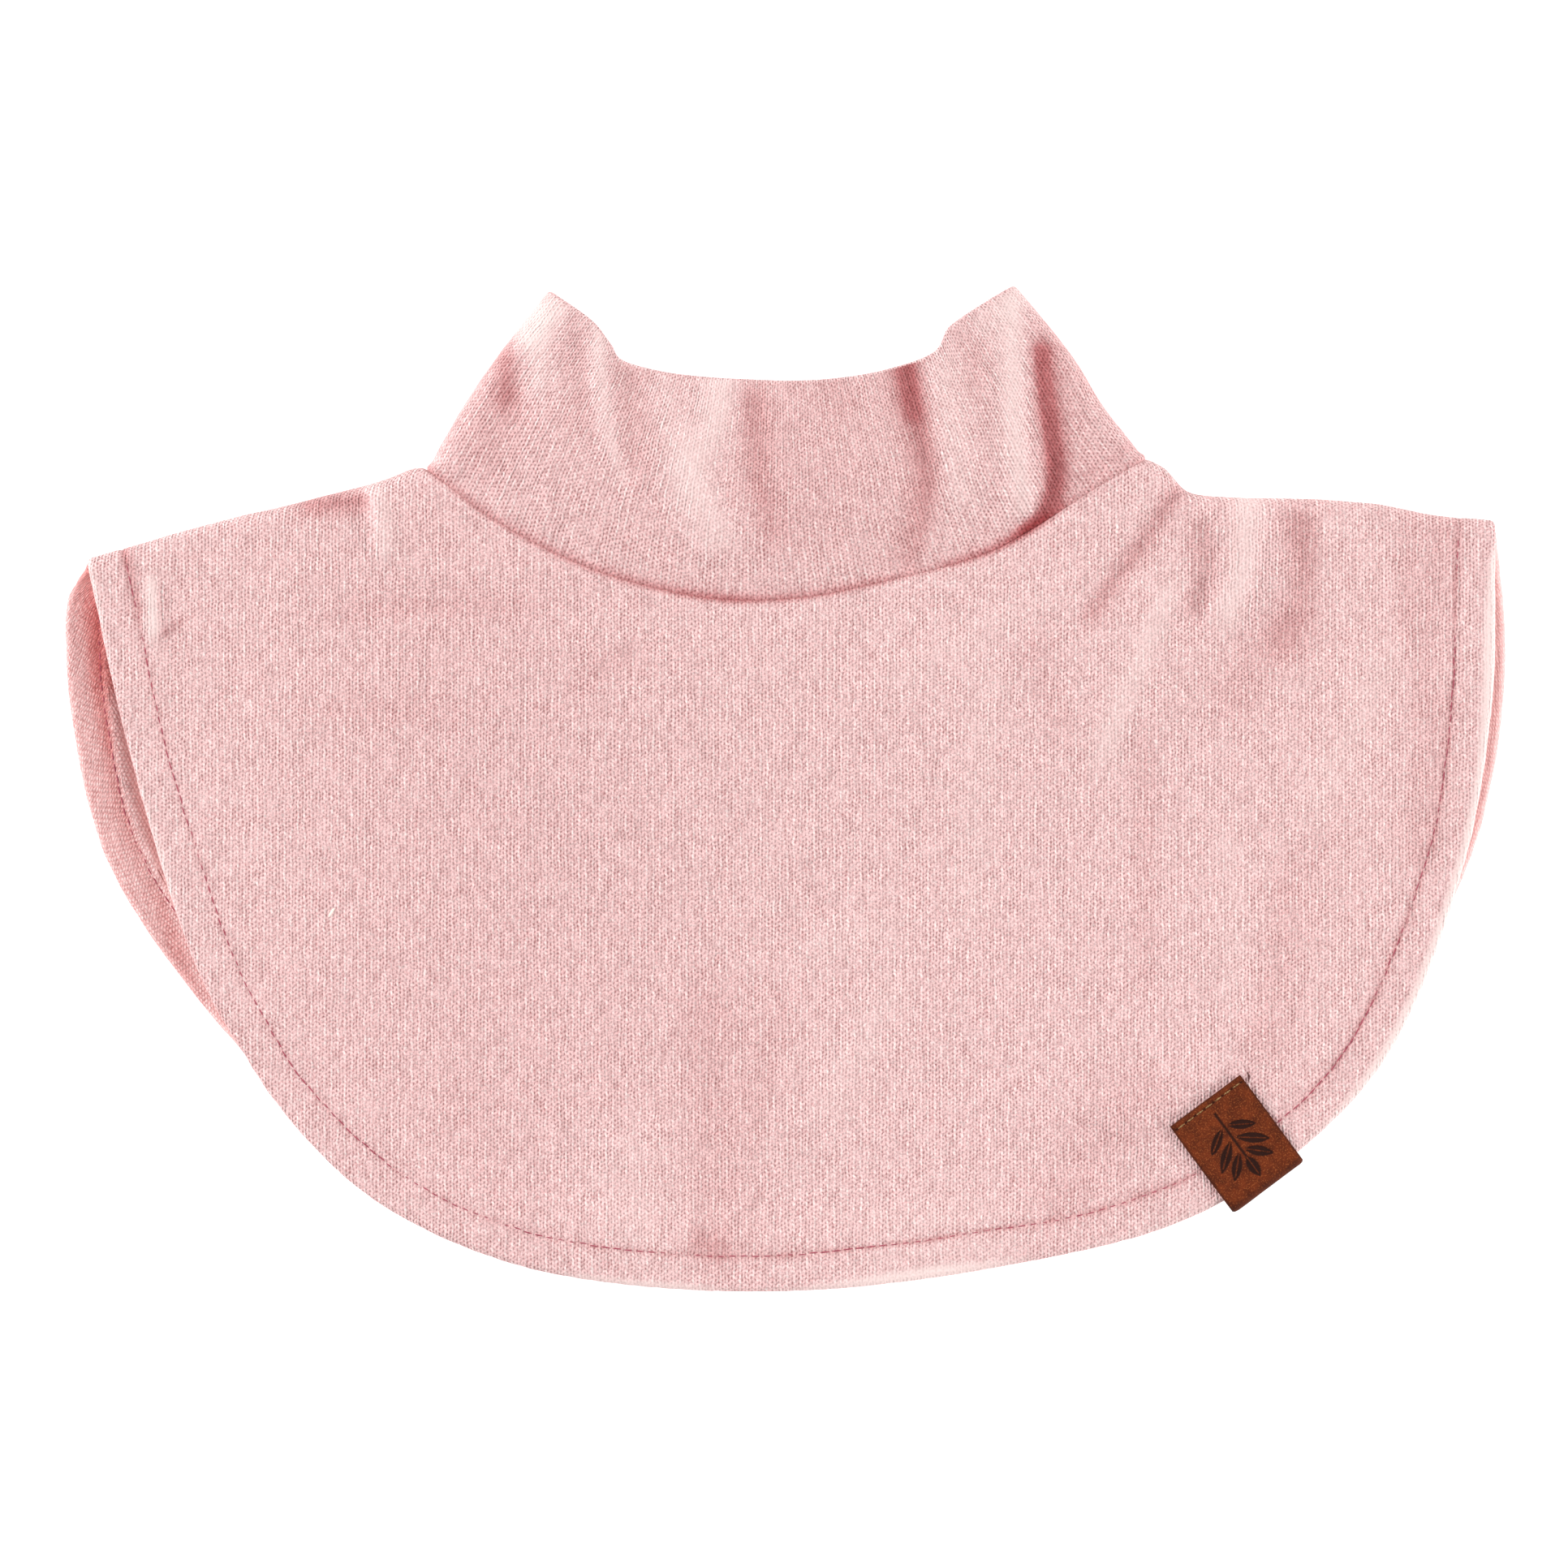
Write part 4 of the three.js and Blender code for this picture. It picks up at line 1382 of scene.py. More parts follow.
        # Painted shade in the stitch line's groove, ragged along it, and a wider painted shadow beside it on
        # the front
        sewn = self.stitch_painted_shade * (0.7 + 0.6 * ragged) * bell(from_line, 0.6)
        sewn = from_table(LINE_STRENGTH, x) * (sewn + self.stitch_shadow * bell(from_line, 1.8) * self.front)
        width = from_table(EDGE_LIGHT, hem.travel, 2)
        lit = from_table(EDGE_LIGHT, hem.travel) * fade(hem.from_edge - 0.6 * width, 1.3 * width)
        outside = np.where(self.front, painted_shade_and_light_of(BIB_FOLDS, places) + lit, 0.0) + sewn
        from_neck = self.neck.nearest(places)[0]
        # Painted shade along the neck seam, darker where the seam pulls harder
        outside = outside + (0.08 + self.seam_painted_shade * Collar.pull(x)) * fade(from_neck, self.seam_reach)

        beyond = self.hems[Layer.FRONT].nearest(places)[0]
        shade = (from_table(INSIDE_SHADE, y) - self.inside_painted_shade) * bell(beyond, self.shadow_reach)
        by_rim = bell(beyond, self.rim_reach) * smoothstep((30 - y) / 16)
        by_line = bell(from_line + 1.1, 1.7) * smoothstep((y + 50) / 60)
        # Painted shade on the back's inside and along its crease, less the painted light by the front hem's
        # rim
        shaded = self.inside_painted_shade + shade + self.crease_painted_shade * by_line - self.rim_painted_light * by_rim
        # Painted light on the back's inside at the right
        shaded = np.where(x < 0, shaded, self.strip_painted_light)
        inside = np.where(self.front, 0.0, shaded) + 0.8 * sewn
        return np.where(self.inner_steps(), self.by_step(inside), self.by_step(outside))

    def cloth_places(self, margin: np.ndarray) -> tuple[np.ndarray, np.ndarray]:
        """Maps the knitting on the wall.

        Args:
            margin: The roll's margin by station and row.

        Returns:
            For each face's own station and for the next one, the place on the cloth by station and step.
        """
        front, back = (self.patches[layer] for layer in Layer)
        part = self.by_step(margin)
        v = self.shares_of([step.unrolled for step in self.section])
        wrapped = front.point(self.unrolled_across(part), v)
        behind = back.point(self.across(part), v)
        behind = np.where(self.inner_steps()[:, None], mirror_over_shoulder(behind), behind)
        plain = np.where(self.front[..., None], front.point(self.across(part), v), behind)
        flat = (self.end == 0) & ~self.front
        keep_plain = (flat & np.roll(flat, -1, axis=0))[..., None]
        left = np.where(keep_plain, plain, wrapped)
        right = np.where(keep_plain, np.roll(plain, -1, axis=0), np.roll(wrapped, -1, axis=0))
        return left, right

    def build(self, finish: bpy.types.Material) -> bpy.types.Object:
        """Builds and dresses the bib.

        Args:
            finish: Its knitted material.

        Returns:
            The piece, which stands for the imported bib.
        """
        smooth, margin = self.surface()
        hem = self.hem_view(smooth)
        outer, lining = (self.proud(smooth, self.detail(smooth, hem, grooved)) for grooved in (True, False))
        outer[..., 2] = np.maximum(outer[..., 2], 0.0)
        inside = self.inner_steps()
        from_line = self.by_step(hem.from_edge - hem.line)
        thinning = self.inner_groove * bell(from_line, self.groove_half) * inside * (from_line > -5.0)
        from_seam = self.by_step(self.neck.nearest(smooth[..., :2])[0])
        pinch = self.neck_pinch * fade(from_seam, self.neck_pinch_reach)
        wall = self.wall(outer, lining, thinning, pinch)
        piece = self.cloth("bib_cloth", wall, self.cloth_places(margin), inside, self.crowding(smooth, hem))
        piece.data.materials.append(finish)
        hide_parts("bib")
        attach(piece, ROOT_BODY)
        return piece


def mirror_over_shoulder(places: np.ndarray) -> np.ndarray:
    """Mirrors places over the nearer shoulder's line, as the cloth is turned over it.

    Args:
        places: An array whose last axis holds x and y.

    Returns:
        The mirrored places.
    """
    mirrored = []
    for start, end in ((SHOULDER_LEFT[2], TIP_LEFT), (SHOULDER_RIGHT[2], TIP_RIGHT)):
        way = np.array(end) - np.array(start)
        way = way / np.linalg.norm(way)
        square = np.array([-way[1], way[0]])
        across = (places - np.array(start)) @ square
        mirrored.append(places - 2 * across[..., None] * square)
    return np.where(places[..., :1] < 0, *mirrored)


@dataclass
class Collar(ClothRing):
    """The collar: a tube of cloth doubled down over itself, which stands on the neck seam."""

    OUTWARD = -1

    layer: float = 1.25
    doubled: float = 2.6
    base_top: float = 11.4
    side_drop: float = 1.4
    swell: float = 5.2
    swell_reach: float = 26.0
    swell_to_rim: float = 0.85
    smooth_foot: float = 0.2
    smooth_rim: float = 0.7
    back_rim_drop: float = 1.8
    tuck_reach: float = 1.3
    seam_lift: float = 0.5
    lift_reach: float = 2.2
    dive: float = 0.55
    tuck_under: float = 1.8
    broad_waves: float = 0.22
    small_waves: float = 0.08
    stations: Stations = Stations(front_steps=340, back_steps=160)
    foot_zone: float = 4.0
    rim_zone: float = 3.2
    middle_rows: int = 56

    def __post_init__(self) -> None:
        """Works out the curves and the rows."""
        sides = SmoothCurve(COLLAR_SIDE_LEFT), SmoothCurve(COLLAR_SIDE_RIGHT)
        patch = Patch(SmoothCurve(NECK_SEAM), SmoothCurve(FRONT_RIM), *sides)
        self.patches = {layer: patch for layer in Layer}
        self.rows, self.section = self._section()
        self.lay_out(self.stations)

    def _section(self) -> tuple[list[Row], list[Step]]:
        """Lays out the doubled wall.

        Returns:
            The rows from the foot to the rim, and the two layers' steps through them.
        """
        radius, rim_turn = self.doubled / 2, 5
        rim_edge = round_edge(radius, rim_turn)
        rows = [Row(0, d) for d in np.arange(-self.tuck_under, self.foot_zone, 0.5)]
        shares = np.linspace(0, 1, self.middle_rows + 1)
        rows += [Row(s, self.foot_zone * (1 - s) - self.rim_zone * s) for s in shares]
        rows += [Row(1, -d) for d in np.arange(self.rim_zone - 0.6, radius + 0.2, -0.6)]
        last = len(rows)
        rows += [Row(1, -edge) for edge, _, _ in rim_edge[:rim_turn + 1]]

        section = [Step(k, 0.0, rows[k]) for k in range(last)]
        for k, (_, depth, way) in enumerate(rim_edge):
            section.append(Step(last + min(k, 2 * rim_turn - k), depth, Row(1, way - radius)))
        over = math.pi * radius - 2 * radius
        inner = range(last - 1, -1, -2)
        between = range(inner[-1], last, 9)
        for steps, depth, past in ((inner, self.doubled, over), (between, self.doubled - self.layer, 0.0)):
            section += [Step(k, depth, Row(2 - rows[k].share, past - rows[k].offset)) for k in steps]
        section += [Step(k, self.layer, rows[k]) for k in between[::-1]]
        return rows, section

    def top(
        self, places: np.ndarray, v: np.ndarray, length: np.ndarray, width: np.ndarray, to_side: np.ndarray
    ) -> np.ndarray:
        """Works out the height of the front's upper face.

        Args:
            places: Places seen from above.
            v: Their shares of the way from the seam to the rim.
            length: How long that way is; not used.
            width: The collar's width there.
            to_side: Their shares of the way to the nearer side.

        Returns:
            Heights in millimetres.
        """
        side = self.base_top - self.side_drop * v
        swell = self.swell * np.sin(math.pi * v * self.swell_to_rim)
        quiet = (1 - fade(v, self.smooth_foot)) * (1 - self.smooth_rim * smoothstep((v - 0.9) / 0.1))
        folds = height_of(COLLAR_FOLDS, places) * quiet
        return side + (swell + folds) * (1 - fade(to_side * width, self.swell_reach))

    @staticmethod
    def pull(x: np.ndarray) -> np.ndarray:
        """Returns how hard the neck seam pulls the collar in, from 0 to 1, by the place across."""
        return from_table(SEAM_PULL, x)

    def from_seam(self) -> np.ndarray:
        """Returns each row's distance from the seam, and a long one past the foot."""
        return np.array([row.offset if row.share == 0 else self.foot_zone * 9 for row in self.rows])

    def detail(self, outer: np.ndarray) -> np.ndarray:
        """Works out how far the cloth stands proud of its smooth face.

        Args:
            outer: The smooth outer face, by station and row.

        Returns:
            Distances along the normals, below 0 where the seam tucks the cloth in.
        """
        places, pull, from_seam = outer[..., :2], self.pull(outer[..., 0]), self.from_seam()
        reach = self.tuck_reach * (0.6 + 0.8 * pull)
        tuck = 0.6 * np.maximum(pull - 0.4, 0) * fade(np.maximum(from_seam, 0) / reach, 1.0)
        tuck = tuck + self.dive * smoothstep(-from_seam / 0.6)
        lift = self.seam_lift * fade(np.abs(from_seam), self.lift_reach)
        broad, small = SoftNoise(cell=13.0, seed=8), SoftNoise(cell=5.0, seed=9)
        waves = self.broad_waves * broad.at(places) + self.small_waves * small.at(places)
        return lift - tuck + waves * (1 - fade(from_seam, 5.0))

    def crowding(self, outer: np.ndarray) -> np.ndarray:
        """Works out the painted shade, above 0, and the painted light, below 0, in the cloth's colour.

        Args:
            outer: The smooth outer face, by station and row.

        Returns:
            Tones from -1 to 1, by station and step of the section.
        """
        pull = self.pull(outer[..., 0])
        # Painted shade along the collar's foot at the seam, darker where the seam pulls harder
        painted_seam_shade = (0.15 + 1.0 * pull) * bell(np.maximum(self.from_seam(), 0), 0.9 + 1.1 * pull)
        tones = np.where(self.front, painted_shade_and_light_of(COLLAR_FOLDS, outer[..., :2]) + painted_seam_shade, painted_seam_shade)
        return self.by_step(tones) * ~self.deeper_than(0.1)

    def cloth_places(self, outer: np.ndarray) -> tuple[np.ndarray, np.ndarray]:
        """Maps the knitting on the wall, with the wales from the seam over the rim and down again.

        Args:
            outer: The outer face by station and row.

        Returns:
            For each face's own station and for the next one, the place on the cloth by station and step.
        """
        middle = outer[:, len(self.rows) * 2 // 5]
        steps = np.linalg.norm(np.roll(middle, -1, axis=0) - middle, axis=1)
        travel = np.concatenate([[0.0], np.cumsum(steps)])[:, None]
        height = self.shares_of([step.unrolled for step in self.section]) * self.length
        left = np.stack([travel[:-1] + 0 * height, height], axis=-1)
        right = np.stack([travel[1:] + 0 * height, np.roll(height, -1, axis=0)], axis=-1)
        return left, right

    def build(self, finish: bpy.types.Material) -> bpy.types.Object:
        """Builds and dresses the collar.

        Args:
            finish: Its knitted material.

        Returns:
            The piece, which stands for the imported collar.
        """
        smooth, margin = self.surface()
        drop = self.back_rim_drop * self.v * np.sin(math.pi * self.across(margin))
        smooth[..., 1] -= np.where(self.front, 0, drop)
        outer = self.proud(smooth, self.detail(smooth))
        outer[..., 2] = np.maximum(outer[..., 2], 0.0)
        reverse = np.zeros(len(self.section))
        wall = self.wall(outer, outer)
        piece = self.cloth("collar_cloth", wall, self.cloth_places(outer), reverse, self.crowding(smooth))
        piece.data.materials.append(finish)
        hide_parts("collar")
        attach(piece, ROOT_BODY)
        return piece


class Leaf(NamedTuple):
    """A leaf of the pressed sprig: its middle, the way that it points, its length and its width."""

    x: float
    y: float
    angle: float
    length: float
    width: float


def turned(x: np.ndarray, y: np.ndarray, angle: float) -> tuple[np.ndarray, np.ndarray]:
    """Turns x and y back by an angle, so that x runs along its way."""
    cos, sin = math.cos(angle), math.sin(angle)
    return x * cos + y * sin, y * cos - x * sin


@dataclass
class LabelTab:
    """The leather tab, folded round the hem and sewn down, with a pressed sprig of leaves.

    Its own x is 0 at the fold and below 0 towards its stitching, and its own y runs across it.
    """

    leather: float = 1.1
    clearance: float = 0.3
    seat: float = 6.9
    hem_thickness: float = 2.6
    pinch: float = 1.3
    hem_under_tab: float = 16.5
    press_depth: float = 0.2
    press_edge: float = 0.13
    vein: float = 0.17
    stem: float = 0.32
    hole: float = 0.5
    seam_dip: float = 0.22
    edge_roll: float = 0.18
    waver: float = 0.18
    dome: float = 0.12
    stitch_inset: float = 1.5
    stitch_margin: float = 0.9
    stitch_count: int = 7
    step: float = 0.2
    under_step: float = 0.6
    fold_steps: int = 18
    across_steps: int = 84
    round_steps: int = 6

    X = 113.2
    Y = -93.2
    ANGLE = -0.933
    LENGTH = 25.3
    WIDTH = 20.4
    SEAT_MARGIN = 5.0
    SEAT_REACH = 12.0
    LEAVES = (
        Leaf(-6.3, 0.0, 0.0, 6.0, 2.9),
        Leaf(-8.4, 3.2, 0.8, 7.2, 2.6),
        Leaf(-8.4, -3.2, -0.8, 7.2, 2.6),
        Leaf(-11.7, 3.9, 0.9, 8.4, 2.6),
        Leaf(-11.7, -3.9, -0.9, 8.4, 2.6),
        Leaf(-15.8, 3.6, 1.0, 7.2, 2.4),
        Leaf(-15.8, -3.6, -1.0, 7.2, 2.4),
    )
    STEM = (-21.6, -9.0)

    @classmethod
    def seat_weight(cls, places: np.ndarray) -> np.ndarray:
        """Works out where the tab lies on the cloth.

        Args:
            places: Places seen from above.

        Returns:
            1 under the tab, fading out to 0 round it.
        """
        x, y = turned(places[..., 0] - cls.X, places[..., 1] - cls.Y, cls.ANGLE)
        along = np.maximum(np.abs(x + cls.LENGTH / 2) - cls.LENGTH / 2 - cls.SEAT_MARGIN, 0)
        across = np.maximum(np.abs(y) - cls.WIDTH / 2 - cls.SEAT_MARGIN, 0)
        return fade(np.hypot(along, across), cls.SEAT_REACH)

    @classmethod
    def in_frame(cls, x: np.ndarray, y: np.ndarray, z: np.ndarray) -> np.ndarray:
        """Turns the tab's own x, y and z into the part's frame."""
        x, y = turned(x, y, -cls.ANGLE)
        return np.stack([x + cls.X, y + cls.Y, z], axis=-1)

    def pressed(self, x: np.ndarray, y: np.ndarray) -> np.ndarray:
        """Works out where the sprig and the needle's holes are pressed into the upper leaf.

        Args:
            x: Places along the tab.
            y: Places across it.

        Returns:
            1 in the pressing and 0 outside, with a soft edge.
        """
        def within(distance: np.ndarray) -> np.ndarray:
            """Returns 1 where the distance into a shape is above 0, with the pressing's soft edge."""
            return smoothstep(distance / self.press_edge)

        start, end = self.STEM
        marks = [within(self.stem - np.abs(y)) * within(x - start) * within(end - x)]
        for leaf in self.LEAVES:
            along, across = turned(x - leaf.x, y - leaf.y, leaf.angle)
            half = leaf.width / 2 * (1 - (2 * along / leaf.length) ** 2)
            vein = within(self.vein - np.abs(across)) * within(leaf.length * 0.36 - along)
            marks.append(within(half - np.abs(across)) * (1 - vein))
        for hole in self.stitch_holes():
            from_hole = np.hypot(x + self.LENGTH - self.stitch_inset, (y - hole) * 0.7)
            marks.append(fade(from_hole, self.hole))
        return np.max(marks, axis=0)

    def stitch_holes(self) -> np.ndarray:
        """Returns the places across the tab where the needle went through."""
        side = self.WIDTH / 2 - self.stitch_margin
        return np.linspace(-side, side, self.stitch_count + 1)

    def path(self) -> np.ndarray:
        """Works out the strip's middle line, from the stitched end over the fold to the lower end.

        Returns:
            Rows of x, z, the normal's x and z, and the way travelled.
        """
        over = self.seat + self.clearance + self.leather / 2
        under = self.seat - self.hem_thickness - self.clearance - self.leather / 2
        middle, radius = (over + under) / 2, (over - under) / 2
        bend = -radius - self.leather / 2
        rows = [(x, over, 0.0, 1.0) for x in np.arange(-self.LENGTH, bend, self.step)]
        for turn in np.linspace(QUARTER, -QUARTER, self.fold_steps):
            cos, sin = math.cos(turn), math.sin(turn)
            rows.append((bend + radius * cos, middle + radius * sin, cos, sin))
        for x in np.arange(bend - 0.5, -self.LENGTH, -self.under_step):
            past_hem = (-x - self.hem_under_tab) / (self.LENGTH - self.hem_under_tab)
            rows.append((x, under + self.pinch * float(smoothstep(np.array(past_hem))), 0.0, -1.0))
        line = np.array(rows)
        travel = np.concatenate([[0.0], np.cumsum(np.linalg.norm(np.diff(line[:, :2], axis=0), axis=1))])
        return np.column_stack([line, travel])

    def build(self, finish: bpy.types.Material) -> bpy.types.Object:
        """Builds and dresses the tab.

        Args:
            finish: Its leather material.

        Returns:
            The piece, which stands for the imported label.
        """
        line = self.path()
        half = self.leather / 2
        width = self.WIDTH / 2
        flat = width - half
        across = np.linspace(-flat, flat, self.across_steps + 1)
        turns = np.linspace(QUARTER, -QUARTER, self.round_steps + 1)[1:-1]
        top = [(y, half) for y in across]
        right = [(flat + half * math.cos(t), half * math.sin(t)) for t in turns]
        bottom = [(y, -half) for y in across[::-1]]
        left = [(-flat - half * math.cos(t), -half * math.sin(t)) for t in turns]
        ring_y, ring_z = np.array(top + right + bottom + left).T

        from_end = np.minimum(line[:, 4], line[-1, 4] - line[:, 4])[:, None]
        rounding = np.sqrt(np.clip(1 - (1 - np.clip(from_end / half, 0, 1)) ** 2, 0.06, 1))
        sway = SoftNoise(cell=7.0, seed=21)
        spread = np.zeros((len(line), len(ring_y)))
        x, z, normal_x, normal_z, travel = (line[:, [k]] + spread for k in range(5))
        edge_sway = self.waver * sway.at(np.stack([travel, np.sign(ring_y) * 40 + spread], axis=-1))
        y = ring_y + edge_sway * (np.abs(ring_y) / width) ** 3
        upper = normal_z > 0.5
        press = self.pressed(x, y) * (ring_z > half * 0.99) * upper
        dip = self.seam_dip * bell(x + self.LENGTH - self.stitch_inset, 0.5) * upper
        roll = self.edge_roll * smoothstep((np.abs(y) - width + 1.4) / 1.4)
        lift = ring_z * rounding + self.dome * sway.at(np.stack([travel, y], axis=-1))
        lift = lift - self.press_depth * press - (dip + roll) * (ring_z > 0)
        places = self.in_frame(x + normal_x * lift, y, z + normal_z * lift)

        faces, corners = self._faces(np.stack([travel, y], axis=-1))
        piece = mesh_object("label_tab", places, faces, corners)
        edge = np.maximum(smoothstep((np.abs(y) - width + 1.1) / 1.1), 1 - np.clip(from_end / 0.9, 0, 1))
        edge = np.maximum(edge, smoothstep((normal_x - 0.1) / 0.5) * 0.8)
        set_attribute(piece, EDGE, edge)
        set_attribute(piece, PRESSED, press)
        piece.data.materials.append(finish)
        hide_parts("label")
        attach(piece, ROOT_BODY)
        return piece

    def _faces(self, cloth: np.ndarray) -> tuple[np.ndarray, np.ndarray]:
        """Joins the strip's vertices, and closes its two ends.

        Args:
            cloth: The place on the strip of each vertex, by row of the path and step round it.

        Returns:
            The faces, and the place on the strip of each face corner.
        """
        count, steps = cloth.shape[:2]
        number = np.arange(count * steps).reshape(count, steps)

        def quads(values: np.ndarray) -> np.ndarray:
            """Gathers values at the corners of the faces between neighbouring rows and steps."""
            beside = np.roll(values, -1, axis=1)
            return np.stack([values[:-1], values[1:], beside[1:], beside[:-1]], axis=2)

        faces = [quads(number).reshape(-1, 4)]
        corners = [quads(cloth).reshape(-1, 4, 2)]
        upper = np.arange(steps // 2)
        under = (2 * (self.across_steps + 1) + self.round_steps - 2 - upper) % steps
        ring = np.stack([upper[:-1], upper[1:], under[1:], under[:-1]], axis=1)
        for row, order in ((0, 1), (count - 1, -1)):
            faces.append(number[row, ring][:, ::order])
            corners.append(cloth.reshape(-1, 2)[faces[-1]])
        return np.vstack(faces), np.vstack(corners)


class ClothProbe:
    """Finds the face of a piece above or below a place."""

    def __init__(self, piece: bpy.types.Object) -> None:
        """Reads a mesh.

        Args:
            piece: The piece whose mesh is of quads.
        """
        mesh = piece.data
        co = np.empty(len(mesh.vertices) * 3, np.float32)
        mesh.vertices.foreach_get("co", co)
        index = np.empty(len(mesh.loops), np.int32)
        mesh.loops.foreach_get("vertex_index", index)
        places = co.reshape(-1, 3) / MM
        self.tree = BVHTree.FromPolygons(places.tolist(), index.reshape(-1, 4).tolist())

    def hit(self, x: float, y: float, start: float = 60.0, down: bool = True) -> tuple[Vector, Vector] | None:
        """Looks for the first face from a height.

        Args:
            x: The place to the right.
            y: The place towards the rim.
            start: The height that the look starts from.
            down: Whether it goes down.

        Returns:
            The face's point and normal, or None where nothing is met.
        """
        way = Vector((0, 0, -1 if down else 1))
        point, normal, _, _ = self.tree.ray_cast(Vector((float(x), float(y), start)), way)
        if point is None:
            return None
        return point, (normal if normal.dot(way) < 0 else -normal)


class Laid(NamedTuple):
    """Where a stitch lies: its middle, the way that it points and the normal of what it lies on."""

    place: Vector
    way: Vector
    normal: Vector


@dataclass(frozen=True)
class Stitch:
    """One stitch of thread along x, with its ends drawn down and its middle bowed out along y."""

    length: float
    radius: float
    bow: float = 0.0
    drawn_down: float = 1.5

    def model(self) -> bpy.types.Object:
        """Models the stitch.

        Returns:
            An object at the origin, in millimetres.
        """
        bpy.ops.object.select_all(action="DESELECT")
        bpy.ops.mesh.primitive_uv_sphere_add(segments=8, ring_count=9, radius=1.0, rotation=(0, QUARTER, 0))
        bpy.ops.object.transform_apply(rotation=True)
        bpy.ops.object.mode_set(mode="EDIT")
        bpy.ops.mesh.select_all(action="SELECT")
        bpy.ops.transform.resize(value=(self.length / 2, self.radius, self.radius))
        bpy.ops.object.mode_set(mode="OBJECT")
        stitch = bpy.context.object
        for vertex in stitch.data.vertices:
            share = vertex.co.x / (self.length / 2)
            vertex.co.z -= self.radius * self.drawn_down * share * share
            vertex.co.y += self.bow * (1 - share * share)
        return stitch

    def sew(self, name: str, row: Sequence[Laid], finish: bpy.types.Material) -> bpy.types.Object:
        """Joins copies of the stitch to one piece.

        Args:
            name: The piece's name.
            row: Where each copy lies.
            finish: The thread's material.

        Returns:
            The piece, in metres.
        """
        pattern = self.model()
        base = np.array([vertex.co[:] for vertex in pattern.data.vertices])
        polygons = [list(polygon.vertices) for polygon in pattern.data.polygons]
        places, faces = [], []
        for k, laid in enumerate(row):
            x_axis = laid.way.normalized()
            y_axis = laid.normal.cross(x_axis).normalized()
            axes = np.array([x_axis[:], y_axis[:], x_axis.cross(y_axis)[:]])
            places.append(base @ axes + np.array(laid.place[:]))
            faces += [[v + k * len(base) for v in polygon] for polygon in polygons]
        mesh = bpy.data.meshes.new(name)
        mesh.from_pydata((np.vstack(places) * MM).tolist(), [], faces)
        mesh.polygons.foreach_set("use_smooth", np.ones(len(faces), bool))
        bpy.data.objects.remove(pattern)
        piece = in_scene(name, mesh)
        piece.data.materials.append(finish)
        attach(piece, ROOT_BODY)
        return piece


@dataclass
class HemStitching:
    """The rows of stitches that hold the bib's turned hem."""

    stitch: Stitch = Stitch(length=2.7, radius=0.165)
    reach: float = 0.7
    longest: float = 2.6
    from_corner: float = 1.5
    jitter: float = 0.14
    sink: float = 0.12
    lowest_sink: float = 0.01
    inner_start: float = 2.85
    under_start: float = -5.0

    def row(self, bib: Bib, probe: ClothProbe, layer: Layer, side: Side) -> list[Laid]:
        """Places the stitches of one row.

        Args:
            bib: The bib that is sewn.
            probe: The bib's finished cloth.
            layer: The hem of the front or of the back.
            side: Where the row is seen from.

        Returns:
            Where each stitch lies.
        """
        start = {Side.TOP: 60.0, Side.INSIDE: self.inner_start, Side.UNDERSIDE: self.under_start}[side]
        travel = np.arange(self.from_corner, bib.hems[layer].length - self.from_corner, bib.stitch_pitch)
        random = np.random.default_rng(31 + layer.value)
        shift = random.uniform(-self.jitter, self.jitter, len(travel))
        buried = self.sink * SoftNoise(cell=9.0, seed=17).at(np.stack([travel, 0 * travel], axis=-1))
        row = []
        for at, aside, sunk in zip(travel, shift, buried):
            points = [self._on_line(bib, layer, at + ahead, aside) for ahead in (-self.reach, self.reach)]
            hits = [probe.hit(*point, start, side is not Side.UNDERSIDE) for point in points]
            if None in hits:
                continue
            (first, normal), (second, _) = hits
            if (second - first).length <= self.longest:
                middle = (first + second) / 2 - normal * (sunk + self.lowest_sink)
                row.append(Laid(middle, second - first, normal))
        return row

    def _on_line(self, bib: Bib, layer: Layer, travel: float, aside: float) -> np.ndarray:
        """Finds a place on the stitch line.

        Args:
            bib: The bib that is sewn.
            layer: The hem of the front or of the back.
            travel: The way along that hem.
            aside: How far the place is moved off the line.

        Returns:
            The place seen from above.
        """
        hem = bib.hems[layer]
        here, ahead = hem.at(travel / hem.length), hem.at((travel + 0.5) / hem.length)
        way = (ahead - here) / np.linalg.norm(ahead - here)
        depth = bib.line_depth(np.array([travel]), layer)[0]
        return here + np.array([-way[1], way[0]]) * (depth + aside)

    def build(self, bib: Bib, cloth: bpy.types.Object, finish: bpy.types.Material) -> list[bpy.types.Object]:
        """Sews the rows.

        Args:
            bib: The bib that is sewn.
            cloth: Its finished piece.
            finish: The thread's material.

        Returns:
            One piece for each row.
        """
        probe = ClothProbe(cloth)
        rows = (
            ("front_hem_stitches", Layer.FRONT, Side.TOP),
            ("back_hem_stitches_inside", Layer.BACK, Side.INSIDE),
            ("back_hem_stitches_under", Layer.BACK, Side.UNDERSIDE),
        )
        return [self.stitch.sew(name, self.row(bib, probe, *seen), finish) for name, *seen in rows]


